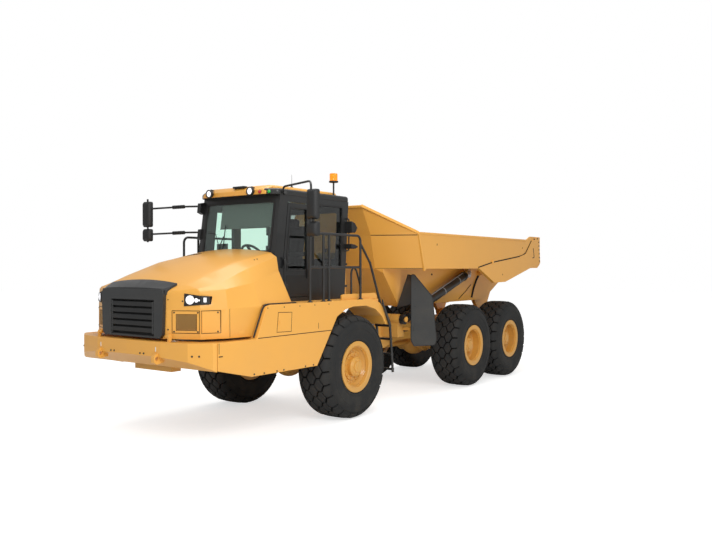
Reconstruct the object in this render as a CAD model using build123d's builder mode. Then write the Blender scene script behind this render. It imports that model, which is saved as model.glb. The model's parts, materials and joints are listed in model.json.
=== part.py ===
from build123d import *
from math import atan2, cos, hypot, pi, sin
import os

os.makedirs("parts", exist_ok=True)

# Articulated dump truck, millimetres. +X forward, +Y left, +Z up, ground at Z 0.
# The origin is on the ground at the middle of the overall length. A size called
# ..._x is counted forward from the front axle, unless it is in a table that says more.

# Overall and axles
nose_reach = 3250
tail_reach = 7110
axle_height = 800
middle_axle_x = -3920
rear_axle_x = -5620
wheel_centre_y = 1110
body_half_width = 1350

front_axle_at = (tail_reach - nose_reach) / 2


def ahead(distance):
    """Model X of a point that lies this far forward of the front axle."""
    return front_axle_at + distance


def finish(builder, name):
    """Label the piece and write its file."""
    builder.part.label = name
    export_step(builder.part, f"parts/{name}.step")


# Tyres and rims
tyre_radius = 800
tyre_width = 610
groove_depth = 28
lug_pitches = 18
crown_half = 200
shoulder_scale = 0.885
sidewall_radius = 560
bead_half = 262
rim_seat_radius = 318
rim_wall = 18
rim_flange_radius = 393
rim_flange_width = 18
hub_radius = 190
hub_bore = 110
hub_inner = 150
hub_wall = 60
axle_tube_radius = 130
differential_radius = 260
running_gap = 0.3
wheel_gap = 6

# Steering and rolling joint behind the cab
steer_pivot_x = -1300
roll_axis_height = 1050
yoke_radius = 160
yoke_plate = 60
knuckle_low = 995
knuckle_high = 1255
knuckle_radius = 150
steer_pin_radius = 60
roll_pin_radius = 130
roll_housing_radius = 220
joint_gap = 5

# Frame rails
rail_height = 300
rail_bottom = 950
front_rail_inner = 375
front_rail_outer = 465
rear_rail_inner = 330
rear_rail_outer = 450
front_rail_end_x = -1000
front_rail_nose_x = nose_reach - 365
rear_rail_nose_x = -2000
rear_rail_end_x = -6200
nose_plate = 100

# Tipping body
tip_pivot_x = -5950
tip_pivot_height = 1300
tip_pin_radius = 50
tip_lug_y = 480
tip_lug_width = 80
bed_half_width = 1450
bed_wall = 30
bed_floor = 1620
bed_floor_half = 700
bed_fold_half = 800
bed_fold = 2300
bed_seam = 2310
bed_rail = 2927
bed_front_half = 700
bed_inner_slope_top = 2720
bed_tail_top = 3013
bed_lip = 2360
tail_rise_x = 770 - tail_reach
floor_bend_x = 1360 - tail_reach

# Hoist cylinders
hoist_y = 900
hoist_foot_x = -2100
hoist_foot_height = 1390
hoist_eye_x = -4600
hoist_eye_height = 2200
hoist_barrel_radius = 82
hoist_rod_radius = 50
hoist_eye_radius = 90
hoist_eye_half = 38
hoist_pin_radius = 38

# Mud flaps. Leaf columns: distance along the leaf, height. Lobe columns: Y, height
flap_root_x = -2190
flap_root_y = 1005
flap_sweep_x = 450
flap_sweep_y = 330
flap_thick = 14
flap_leaf = [
    (60, 910), (0, 1000), (0, 2190), (60, 2200), (420, 1790), (500, 1000), (460, 910),
]
flap_lobe = [(700, 1590), (1012, 1660), (1012, 2190), (930, 2190)]

# Steering cylinders
ram_foot_x = -280
ram_foot_y = 520
ram_eye_x = -1600
ram_eye_y = 360
ram_height = 800
ram_barrel_radius = 55
ram_rod_radius = 32
ram_eye_radius = 70
ram_eye_half = 38
ram_pin_radius = 28

# Cab and deck
cab_half_width = 800
cab_wall = 50
deck_top = 1820
deck_thick = 60
deck_rear_x = -700
glass_thick = 12
door_gap = 12
door_hinge_x = 1045
door_hinge_out = 30
door_hinge_heights = (2050, 2400)
door_barrel_radius = 18
door_barrel_half = 55
door_pin_radius = 8

# Hood
hood_skin = 40
hood_bottom = 1425
hood_rear_x = 1320
fender_top = 1830
panel_gap = 12
nose_face_x = nose_reach - 170
hood_hinge_x = nose_reach - 150
hood_hinge_height = 1460
hood_hinge_y = 660
hood_knuckle_width = 34
hood_hinge_pin = 10
grille_opening_half = 450

# Wheels. Columns: name, distance ahead of the front axle, hub face depth from the
# wheel's centre, hub cap reach from the wheel's centre
wheel_rows = [
    ("front", 0, 150, 285),
    ("middle", middle_axle_x, 40, 190),
    ("rear", rear_axle_x, 40, 190),
]
sides = [("left", 1), ("right", -1)]

# Outline of the lugs in side view. Columns: radius, share of a lug's pitch
half_width = tyre_width / 2
lug_outline = [
    (tyre_radius, 0), (tyre_radius, 0.6),
    (tyre_radius - groove_depth, 0.66), (tyre_radius - groove_depth, 0.94),
]


def lug_row(side, start):
    """Toothed ring about the origin, from the middle of the tread out over the shoulder.
    With a start of 0 the corner of a lug stands on the ground."""
    outline = []
    for number in range(lug_pitches):
        for radius, share in lug_outline:
            turn = 2 * pi * (number + start + share) / lug_pitches - pi / 2
            outline.append((radius * cos(turn), radius * sin(turn)))
    rings = []
    for across, scale in ((0, 1), (crown_half, 1), (half_width, shoulder_scale)):
        with BuildSketch(Plane.XZ.offset(-side * across)) as ring:
            with BuildLine():
                Polyline(*[(x * scale, z * scale) for x, z in outline], close=True)
            make_face()
        rings.append(ring.sketch)
    return loft(rings, ruled=True)


# One tyre about the origin: two rows of lugs half a pitch apart, and the room for the
# rim turned out of them, with sidewalls drawn in toward the beads
rim_room = [
    (half_width, 0), (half_width, sidewall_radius), (bead_half, rim_flange_radius + 5),
    (bead_half, rim_seat_radius),
]
with BuildPart() as tyre_form:
    add(lug_row(1, 0))
    add(lug_row(-1, 0.5))
    with BuildSketch(Plane(origin=(0, 0, 0), x_dir=(0, 1, 0), z_dir=(1, 0, 0))):
        with BuildLine():
            Polyline(*rim_room, *[(-y, r) for y, r in reversed(rim_room)], close=True)
        make_face()
    revolve(axis=Axis.Y, mode=Mode.SUBTRACT)

for row, axle_x, disc_at, cap_at in wheel_rows:
    for side_name, side in sides:
        centre = (ahead(axle_x), side * wheel_centre_y, axle_height)
        section = Plane(origin=centre, x_dir=(0, side, 0), z_dir=(1, 0, 0))
        spin = Axis(centre, (0, 1, 0))

        with BuildPart() as tyre:
            with Locations(centre):
                add(tyre_form.part)
        finish(tyre, f"tyre_{row}_{side_name}")

        rim_edge = bead_half + rim_flange_width
        bore_end = disc_at - hub_wall
        with BuildPart() as rim:
            with BuildSketch(section):
                with BuildLine():
                    Polyline(
                        (-hub_inner, hub_bore), (bore_end, hub_bore), (bore_end, 0),
                        (cap_at, 0), (cap_at, 120), (cap_at - 30, 150),
                        (disc_at + 45, 150), (disc_at + 45, hub_radius + 20),
                        (disc_at + 25, hub_radius + 20), (disc_at + 25, 265),
                        (disc_at + 70, rim_seat_radius - rim_wall),
                        (rim_edge - 12, rim_seat_radius - rim_wall + 12),
                        (rim_edge, rim_seat_radius + 10), (rim_edge, rim_flange_radius),
                        (bead_half, rim_flange_radius), (bead_half, rim_seat_radius),
                        (-bead_half, rim_seat_radius), (-bead_half, rim_flange_radius),
                        (-rim_edge, rim_flange_radius),
                        (-rim_edge, rim_seat_radius - rim_wall),
                        (disc_at + 10, rim_seat_radius - rim_wall), (disc_at, 265),
                        (disc_at, hub_radius), (-hub_inner, hub_radius),
                        (-hub_inner, hub_bore),
                    )
                make_face()
            revolve(axis=spin)
        finish(rim, f"rim_{row}_{side_name}")


def axle_housing(axle_x, disc_at):
    """Differential, tubes, end flanges and spindles of one driven axle."""
    centre = (ahead(axle_x), 0, axle_height)
    spindle_end = wheel_centre_y + disc_at - hub_wall - wheel_gap
    flange_out = wheel_centre_y - hub_inner - wheel_gap
    with BuildSketch(Plane(origin=centre, x_dir=(0, 1, 0), z_dir=(1, 0, 0))) as half:
        with BuildLine():
            Polyline(
                (0, 0), (0, 180), (300, 180), (340, axle_tube_radius),
                (flange_out - 60, axle_tube_radius), (flange_out - 60, hub_radius),
                (flange_out, hub_radius), (flange_out, hub_bore - running_gap),
                (spindle_end, hub_bore - running_gap), (spindle_end, 0), close=True,
            )
        make_face()
    right = revolve(half.sketch, axis=Axis(centre, (0, 1, 0)), mode=Mode.PRIVATE)
    add(right)
    add(right.mirror(Plane.XZ))
    with Locations(centre):
        Sphere(differential_radius)


with BuildPart() as front_axle:
    axle_housing(0, wheel_rows[0][2])
    for side in (1, -1):
        with Locations((ahead(0), side * 420, (axle_height + rail_bottom) / 2)):
            Box(180, 85, rail_bottom - axle_height)
finish(front_axle, "front_axle")

with BuildPart() as rear_axles:
    for row, axle_x, disc_at, cap_at in wheel_rows[1:]:
        axle_housing(axle_x, disc_at)
    # Drive shaft between the two housings and forward to the rolling joint
    with BuildSketch(Plane.YZ.offset(ahead(rear_axle_x))):
        with Locations((0, axle_height)):
            Circle(45)
    extrude(amount=hoist_foot_x - 100 - rear_axle_x)
finish(rear_axles, "rear_axles")

# Walking beams that carry the two rear axles, one each side of the frame
beam_inner = 520
beam_width = 120
beam_pivot_x = (middle_axle_x + rear_axle_x) / 2
beam_pivot_height = 930
with BuildPart() as walking_beams:
    for side in (1, -1):
        with BuildSketch(Plane.XZ.offset(-side * beam_inner)):
            with BuildLine():
                Polyline(
                    (ahead(rear_axle_x) - 170, axle_height + 70),
                    (ahead(rear_axle_x) + 130, axle_height + 165),
                    (ahead(beam_pivot_x) - 160, beam_pivot_height + 120),
                    (ahead(beam_pivot_x) + 160, beam_pivot_height + 120),
                    (ahead(middle_axle_x) - 130, axle_height + 165),
                    (ahead(middle_axle_x) + 170, axle_height + 70),
                    (ahead(middle_axle_x) + 170, axle_height - 150),
                    (ahead(rear_axle_x) - 170, axle_height - 150), close=True,
                )
            make_face()
            with Locations((ahead(middle_axle_x), axle_height),
                           (ahead(rear_axle_x), axle_height)):
                Circle(axle_tube_radius + running_gap, mode=Mode.SUBTRACT)
            with Locations((ahead(beam_pivot_x), beam_pivot_height)):
                Circle(70 + running_gap, mode=Mode.SUBTRACT)
        extrude(amount=-side * beam_width)
finish(walking_beams, "walking_beams")

# Front frame: rails, yoke, cross members, outriggers and cab posts
yoke_low = knuckle_low - joint_gap - yoke_plate
yoke_high = knuckle_high + joint_gap
outrigger = 90
deck_beam_top = deck_top - deck_thick
# Columns: distance ahead of the front axle, bottom and top of an outrigger beam
outriggers = [(2250, 1120, 1230), (1000, 1560, deck_beam_top), (-600, 1700, deck_beam_top)]
fender_inner = body_half_width - 45

with BuildPart() as front_chassis:
    for side in (1, -1):
        with BuildSketch(Plane.XZ.offset(-side * front_rail_inner)):
            with BuildLine():
                Polyline(
                    (ahead(front_rail_end_x), yoke_low),
                    (ahead(front_rail_end_x), yoke_high + yoke_plate),
                    (ahead(-500), yoke_high + yoke_plate),
                    (ahead(-250), rail_bottom + rail_height),
                    (ahead(front_rail_nose_x), rail_bottom + rail_height),
                    (ahead(front_rail_nose_x), rail_bottom + 120),
                    (ahead(2300), rail_bottom), (ahead(-500), rail_bottom), close=True,
                )
            make_face()
        extrude(amount=-side * (front_rail_outer - front_rail_inner))
    for low in (yoke_low, yoke_high):
        with BuildSketch(Plane.XY.offset(low)):
            with BuildLine():
                Polyline(
                    (ahead(steer_pivot_x), yoke_radius),
                    (ahead(front_rail_end_x) + 60, front_rail_outer),
                    (ahead(-700), front_rail_outer), (ahead(-700), -front_rail_outer),
                    (ahead(front_rail_end_x) + 60, -front_rail_outer),
                    (ahead(steer_pivot_x), -yoke_radius), close=True,
                )
            make_face()
            with Locations((ahead(steer_pivot_x), 0)):
                Circle(yoke_radius)
        extrude(amount=yoke_plate)
    # Pin through both yoke plates
    with BuildSketch(Plane.XY.offset(yoke_low - 20)):
        with Locations((ahead(steer_pivot_x), 0)):
            Circle(steer_pin_radius)
    extrude(amount=yoke_high + yoke_plate + 40 - yoke_low)
    # Cross members that carry the engine. Each row: distance ahead, length
    for cross_x, length in ((2700, 160), (2300, 120), (1450, 120), (400, 160)):
        with Locations((ahead(cross_x), 0, rail_bottom + 35)):
            Box(length, 2 * front_rail_inner, 70)
    for beam_x, low, high in outriggers:
        for side in (1, -1):
            reach = fender_inner - front_rail_inner
            with Locations((ahead(beam_x), side * (front_rail_inner + reach / 2),
                            (low + high) / 2)):
                Box(outrigger, reach, high - low)
            post = high - rail_bottom - rail_height
            if post > 0:
                with Locations((ahead(beam_x), side * (front_rail_inner + 45),
                                rail_bottom + rail_height + post / 2)):
                    Box(outrigger, 90, post)
    # Feet of the steering cylinders, hung from the rails
    for side in (1, -1):
        for low in (ram_height - ram_eye_half - running_gap - 20,
                    ram_height + ram_eye_half + running_gap):
            with BuildSketch(Plane.XY.offset(low)):
                with Locations((ahead(ram_foot_x), side * ram_foot_y)):
                    Circle(ram_eye_radius - 10)
                with Locations((ahead(ram_foot_x), side * (ram_foot_y - 75))):
                    Rectangle(90, 140)
            extrude(amount=20)
        with Locations((ahead(ram_foot_x), side * 400, ram_height + 46)):
            Box(90, 50, 210)
        with Locations((ahead(ram_foot_x), side * ram_foot_y, ram_height)):
            Cylinder(ram_pin_radius, 2 * ram_eye_half + 60)
finish(front_chassis, "front_chassis")

# Hitch: knuckle on the steering pin, roll spindle and the steering cylinders' lugs
hitch_block_x = -1500
hitch_block = 90
ram_lug_low = ram_height + ram_eye_half + 20
with BuildPart() as hitch:
    with BuildSketch(Plane.XY.offset(knuckle_low)):
        with Locations((ahead(steer_pivot_x), 0)):
            Circle(knuckle_radius)
        with Locations((ahead((steer_pivot_x + hitch_block_x) / 2) - 20, 0)):
            Rectangle(steer_pivot_x - hitch_block_x + 40, 240)
    extrude(amount=knuckle_high - knuckle_low)
    with Locations((ahead(hitch_block_x - hitch_block / 2), 0, (ram_lug_low + 1300) / 2)):
        Box(hitch_block, 600, 1300 - ram_lug_low)
    with BuildSketch(Plane.YZ.offset(ahead(hitch_block_x - hitch_block))):
        with Locations((0, roll_axis_height)):
            Circle(roll_pin_radius)
    extrude(amount=-360)
    for side in (1, -1):
        with BuildSketch(Plane.XY.offset(ram_lug_low)):
            with Locations((ahead(ram_eye_x), side * ram_eye_y)):
                Circle(ram_eye_radius + 15)
            with Locations((ahead(ram_eye_x) + 50, side * 300)):
                Rectangle(120, 200)
        extrude(amount=50)
    with BuildSketch(Plane.XY.offset(knuckle_low)):
        with Locations((ahead(steer_pivot_x), 0)):
            Circle(steer_pin_radius + running_gap)
    extrude(amount=knuckle_high - knuckle_low, mode=Mode.SUBTRACT)
finish(hitch, "hitch")

# Roll bearing housing on the rear frame's nose plate
housing_nose_x = -1720
rail_start_x = rear_rail_nose_x - nose_plate / 2
with BuildPart() as roll_housing:
    with BuildSketch(Plane.YZ.offset(ahead(housing_nose_x))):
        with Locations((0, roll_axis_height)):
            Circle(roll_housing_radius)
    extrude(amount=rear_rail_nose_x - housing_nose_x)
    with Locations((ahead(rear_rail_nose_x), 0, roll_axis_height)):
        Box(nose_plate, 2 * rear_rail_outer, 2 * roll_housing_radius)
    with BuildSketch(Plane.YZ.offset(ahead(housing_nose_x))):
        with Locations((0, roll_axis_height)):
            Circle(roll_pin_radius + running_gap)
    extrude(amount=rear_rail_nose_x - housing_nose_x - nose_plate, mode=Mode.SUBTRACT)
finish(roll_housing, "roll_housing")

# Rear frame: rails, cross members, tipping pin and towing lug
with BuildPart() as rear_chassis:
    rail_profile = [
        (ahead(rail_start_x), roll_axis_height - roll_housing_radius),
        (ahead(rail_start_x), roll_axis_height + roll_housing_radius),
        (ahead(-2600), rail_bottom + rail_height),
        (ahead(tip_pivot_x) + 260, rail_bottom + rail_height),
        (ahead(tip_pivot_x) + 90, tip_pivot_height + 80),
        (ahead(tip_pivot_x) - 90, tip_pivot_height + 80),
        (ahead(rear_rail_end_x), rail_bottom + rail_height - 60),
        (ahead(rear_rail_end_x), rail_bottom), (ahead(-2600), rail_bottom),
    ]
    for side in (1, -1):
        with BuildSketch(Plane.XZ.offset(-side * rear_rail_inner)):
            with BuildLine():
                Polyline(*rail_profile, close=True)
            make_face()
        extrude(amount=-side * (rear_rail_outer - rear_rail_inner))
    # Cross members. Columns: distance ahead, length, bottom, top
    for cross_x, length, low, high in (
        (-2500, 200, 1000, 1220), (beam_pivot_x, 220, 1080, 1240),
        (-4900, 160, 1080, 1240), (rear_rail_end_x + 60, 120, 930, 1150),
    ):
        with Locations((ahead(cross_x), 0, (low + high) / 2)):
            Box(length, 2 * rear_rail_outer, high - low)
    # Tipping pin and the walking beams' cross shaft
    with Locations((ahead(tip_pivot_x), 0, tip_pivot_height)):
        Cylinder(tip_pin_radius, 2 * (tip_lug_y + tip_lug_width + 20), rotation=(90, 0, 0))
    with Locations((ahead(beam_pivot_x), 0, beam_pivot_height)):
        Cylinder(70, 2 * (beam_inner + beam_width + 15), rotation=(90, 0, 0))
    for side in (1, -1):
        with Locations((ahead(beam_pivot_x), side * 390, beam_pivot_height + 40)):
            Box(200, 120, 200)
    # Rear towing lug with its upright pin hole
    with BuildSketch(Plane.XY.offset(960)):
        with Locations((ahead(rear_rail_end_x) - 30, 0)):
            Rectangle(100, 200)
        with Locations((ahead(rear_rail_end_x) - 80, 0)):
            Circle(70)
            Circle(30, mode=Mode.SUBTRACT)
    extrude(amount=60)
finish(rear_chassis, "rear_chassis")

# Feet of the hoist cylinders: a beam out from each rail with a pin through the foot
foot_inner = hoist_y - hoist_eye_half - running_gap
with BuildPart() as hoist_feet:
    for side in (1, -1):
        with BuildSketch(Plane.XZ.offset(-side * rear_rail_outer)):
            with BuildLine():
                Polyline(
                    (ahead(hoist_foot_x) - 190, 1060), (ahead(hoist_foot_x) - 110, 1440),
                    (ahead(hoist_foot_x) - 40, hoist_foot_height + hoist_eye_radius),
                    (ahead(hoist_foot_x) + 40, hoist_foot_height + hoist_eye_radius),
                    (ahead(hoist_foot_x) + 30, 1060), close=True,
                )
            make_face()
        extrude(amount=-side * (foot_inner - 60 - rear_rail_outer))
        with Locations((ahead(hoist_foot_x), side * (foot_inner - 100), hoist_foot_height)):
            Cylinder(hoist_eye_radius - 15, 200, rotation=(90, 0, 0))
        # Arm out to the mud flap, under the barrel
        arm_end = flap_root_y + 40 * flap_sweep_y / flap_sweep_x - running_gap
        with Locations((ahead(flap_root_x) - 70, side * (rear_rail_outer + arm_end) / 2, 1210)):
            Box(60, arm_end - rear_rail_outer, 60)
        with Locations((ahead(hoist_foot_x), side * (hoist_y - 60), hoist_foot_height)):
            Cylinder(hoist_pin_radius, 240, rotation=(90, 0, 0))
finish(hoist_feet, "hoist_feet")

# Mud flaps ahead of the middle wheels: a lobe over the hoist barrel and an outer leaf
with BuildPart() as wheel_flaps:
    leaf = Plane(origin=(ahead(flap_root_x), flap_root_y, 0),
                 x_dir=(-flap_sweep_x, flap_sweep_y, 0), z_dir=(flap_sweep_y, flap_sweep_x, 0))
    up = 1 if leaf.y_dir.Z > 0 else -1
    with BuildSketch(leaf):
        with BuildLine():
            Polyline(*[(x, up * z) for x, z in flap_leaf], close=True)
        make_face()
    extrude(amount=flap_thick)
    with BuildSketch(Plane.YZ.offset(ahead(flap_root_x) - flap_thick)):
        with BuildLine():
            Polyline(*flap_lobe, close=True)
        make_face()
    extrude(amount=flap_thick)
    mirror(about=Plane.XZ)
finish(wheel_flaps, "wheel_flaps")

# Tail lamps on the rear cross member
with BuildPart() as tail_lamps:
    for side in (1, -1):
        with Locations((ahead(rear_rail_end_x) - 20, side * 340, 1060)):
            Box(40, 150, 90)
finish(tail_lamps, "tail_lamps")


# Tipping body: side profile crossed with its section, less the same form drawn inside
def bed_side(wall, above):
    """Side profile set in by the wall, with its open top raised by a given height."""
    lean = wall * 1.15
    with BuildSketch(Plane.XZ.offset(-bed_half_width)) as view:
        with BuildLine():
            Polyline(
                (ahead(-2250) - lean, bed_floor + wall),
                (ahead(-1530) - lean, bed_seam + wall / 2),
                (ahead(-1355) - lean, 2885),
                (ahead(-1080) - lean + above * 0.55, 3380 + above),
                (ahead(-1700), bed_rail + above), (ahead(tail_rise_x), bed_rail + above),
                (ahead(tail_rise_x - 220), bed_tail_top + above),
                (ahead(-tail_reach) - above, bed_tail_top + above),
                (ahead(-tail_reach) - above, bed_lip + 40 + wall * 1.1),
                (ahead(-tail_reach + 60), bed_lip + wall * 1.1),
                (ahead(floor_bend_x), bed_floor + wall), close=True,
            )
        make_face()
    return view.sketch


def bed_section(wall, shoulder, top):
    """Cross section set in by the wall, from the floor up to the given height."""
    right = [
        (bed_floor_half - wall, bed_floor + wall), (bed_fold_half - wall, bed_fold + wall),
        (bed_half_width - wall, shoulder), (bed_half_width - wall, top),
    ]
    with BuildSketch(Plane.YZ.offset(ahead(-tail_reach) - 300)) as view:
        with BuildLine():
            Polyline(*right, *[(-y, z) for y, z in reversed(right)], close=True)
        make_face()
    return view.sketch


bed_forms = []
for wall, above, shoulder in ((0, 0, bed_seam), (bed_wall, 300, bed_inner_slope_top)):
    side_view = bed_side(wall, above)
    section_view = bed_section(wall, shoulder, 3900)
    with BuildPart() as form:
        extrude(side_view, amount=2 * bed_half_width)
        extrude(section_view, amount=tail_reach + 600, mode=Mode.INTERSECT)
        # Front corner panels, cut off by a leaning plane at each side
        for side in (1, -1):
            edge = Vector(ahead(-1355), side * bed_front_half, 2885)
            along = Vector(-345, side * (bed_half_width - bed_front_half), 0)
            normal = Vector(190, 0, 575).cross(along)
            if normal.X < 0:
                normal = normal * -1
            normal = normal.normalized()
            split(bisect_by=Plane(origin=edge - normal * wall, z_dir=normal), keep=Keep.BOTTOM)
    bed_forms.append(form.part)

# Cheek plates of the tail, outside the trough. Columns: distance ahead, height
cheek_outline = [
    (-3980, 2313), (-4702, 2012), (-5223, 2022), (418 - tail_reach, 2341),
    (-tail_reach, 2420), (60 - tail_reach, bed_tail_top), (158 - tail_reach, bed_tail_top),
    (480 - tail_reach, 2921), (830 - tail_reach, 2620), (1210 - tail_reach, 2545),
    (-4622, 2416),
]
cheek_out = 12
with BuildPart() as bed:
    add(bed_forms[0])
    for side in (1, -1):
        with BuildSketch(Plane.XZ.offset(-side * (bed_half_width - 60))):
            with BuildLine():
                Polyline(*[(ahead(x), z) for x, z in cheek_outline], close=True)
            make_face()
        extrude(amount=-side * (60 + cheek_out))
    add(bed_forms[1], mode=Mode.SUBTRACT)
    # Lugs on the tipping pin
    for side in (1, -1):
        with BuildSketch(Plane.XZ.offset(-side * tip_lug_y)):
            with BuildLine():
                Polyline(
                    (ahead(tip_pivot_x) + 420, bed_floor + 40),
                    (ahead(tip_pivot_x) + 110, tip_pivot_height),
                    (ahead(tip_pivot_x) - 110, tip_pivot_height),
                    (ahead(tip_pivot_x) - 420, bed_floor + 150), close=True,
                )
            make_face()
            with Locations((ahead(tip_pivot_x), tip_pivot_height)):
                Circle(110)
        extrude(amount=-side * tip_lug_width)
    # Brackets beside the hoist eyes
    eye_face = hoist_y - hoist_rod_radius - 8
    for side in (1, -1):
        with Locations((ahead(hoist_eye_x), side * (eye_face + bed_fold_half - 60) / 2,
                        hoist_eye_height)):
            Cylinder(hoist_eye_radius, eye_face - bed_fold_half + 60, rotation=(90, 0, 0))
    with Locations((ahead(tip_pivot_x), 0, tip_pivot_height)):
        Cylinder(tip_pin_radius + running_gap, 2 * bed_half_width, rotation=(90, 0, 0),
                 mode=Mode.SUBTRACT)
finish(bed, "bed")

# Hoist cylinders: foot on the rear frame, eye beside the body's bracket
hoist_length = hypot(hoist_eye_x - hoist_foot_x, hoist_eye_height - hoist_foot_height)
hoist_rise = atan2(hoist_eye_height - hoist_foot_height, hoist_foot_x - hoist_eye_x)
hoist_barrel_end = hoist_length - 150
hoist_rod_foot = 160
for side_name, side in sides:
    foot = Plane(origin=(ahead(hoist_foot_x), side * hoist_y, hoist_foot_height),
                 x_dir=(-cos(hoist_rise), 0, sin(hoist_rise)), z_dir=(0, 1, 0))
    barrel_plane = Plane(origin=foot.origin, x_dir=(0, 1, 0), z_dir=foot.x_dir)
    with BuildPart() as hoist_barrel:
        with BuildSketch(foot.offset(-hoist_eye_half)):
            Circle(hoist_eye_radius)
        extrude(amount=2 * hoist_eye_half)
        with BuildSketch(barrel_plane.offset(hoist_eye_radius - 5)):
            Circle(hoist_barrel_radius)
        extrude(amount=hoist_barrel_end - hoist_eye_radius + 5)
        with BuildSketch(barrel_plane.offset(hoist_rod_foot - 15)):
            Circle(hoist_barrel_radius - 16)
        extrude(amount=hoist_barrel_end - hoist_rod_foot - 45, mode=Mode.SUBTRACT)
        with BuildSketch(barrel_plane.offset(hoist_rod_foot)):
            Circle(hoist_rod_radius + running_gap)
        extrude(amount=hoist_barrel_end, mode=Mode.SUBTRACT)
        with BuildSketch(foot.offset(-hoist_eye_half)):
            Circle(hoist_pin_radius + running_gap)
        extrude(amount=2 * hoist_eye_half, mode=Mode.SUBTRACT)
    finish(hoist_barrel, f"hoist_barrel_{side_name}")

    with BuildPart() as hoist_rod:
        with BuildSketch(barrel_plane.offset(hoist_rod_foot)):
            Circle(hoist_rod_radius)
        extrude(amount=hoist_length - hoist_rod_foot - 60)
        with BuildSketch(barrel_plane.offset(hoist_rod_foot)):
            Circle(hoist_barrel_radius - 16 - running_gap)
        extrude(amount=60)
        with BuildSketch(Plane(origin=(ahead(hoist_eye_x), side * (hoist_y - hoist_eye_half),
                                       hoist_eye_height), z_dir=(0, side, 0))):
            Circle(hoist_eye_radius)
        extrude(amount=2 * hoist_eye_half)
        with BuildSketch(Plane(origin=(ahead(hoist_eye_x), side * (hoist_y + hoist_eye_half),
                                       hoist_eye_height), z_dir=(0, side, 0))):
            Circle(hoist_pin_radius + 12)
        extrude(amount=14)
    finish(hoist_rod, f"hoist_rod_{side_name}")

# Steering cylinders: foot between the front frame's lugs, eye under the hitch's lug
ram_length = hypot(ram_eye_x - ram_foot_x, ram_eye_y - ram_foot_y)
ram_barrel_end = 790
ram_rod_foot = 420
for side_name, side in sides:
    foot = Vector(ahead(ram_foot_x), side * ram_foot_y, ram_height)
    eye = Vector(ahead(ram_eye_x), side * ram_eye_y, ram_height)
    along = Plane(origin=foot, x_dir=(0, 0, 1), z_dir=eye - foot)
    with BuildPart() as ram_barrel:
        with BuildSketch(Plane.XY.offset(ram_height - ram_eye_half)):
            with Locations((foot.X, foot.Y)):
                Circle(ram_eye_radius)
        extrude(amount=2 * ram_eye_half)
        with BuildSketch(along.offset(ram_eye_radius - 4)):
            Circle(ram_barrel_radius)
        extrude(amount=ram_barrel_end - ram_eye_radius + 4)
        with BuildSketch(along.offset(100)):
            Circle(ram_barrel_radius - 12)
        extrude(amount=ram_barrel_end - 140, mode=Mode.SUBTRACT)
        with BuildSketch(along.offset(100)):
            Circle(ram_rod_radius + running_gap)
        extrude(amount=ram_barrel_end, mode=Mode.SUBTRACT)
        with BuildSketch(Plane.XY.offset(ram_height - ram_eye_half)):
            with Locations((foot.X, foot.Y)):
                Circle(ram_pin_radius + running_gap)
        extrude(amount=2 * ram_eye_half, mode=Mode.SUBTRACT)
    finish(ram_barrel, f"steering_barrel_{side_name}")

    with BuildPart() as ram_rod:
        with BuildSketch(along.offset(ram_rod_foot)):
            Circle(ram_rod_radius)
        extrude(amount=ram_length - ram_rod_foot - 40)
        with BuildSketch(along.offset(ram_rod_foot)):
            Circle(ram_barrel_radius - 12 - running_gap)
        extrude(amount=35)
        with BuildSketch(Plane.XY.offset(ram_height - ram_eye_half)):
            with Locations((eye.X, eye.Y)):
                Circle(ram_eye_radius)
        extrude(amount=2 * ram_eye_half + 8)
    finish(ram_rod, f"steering_rod_{side_name}")

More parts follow.
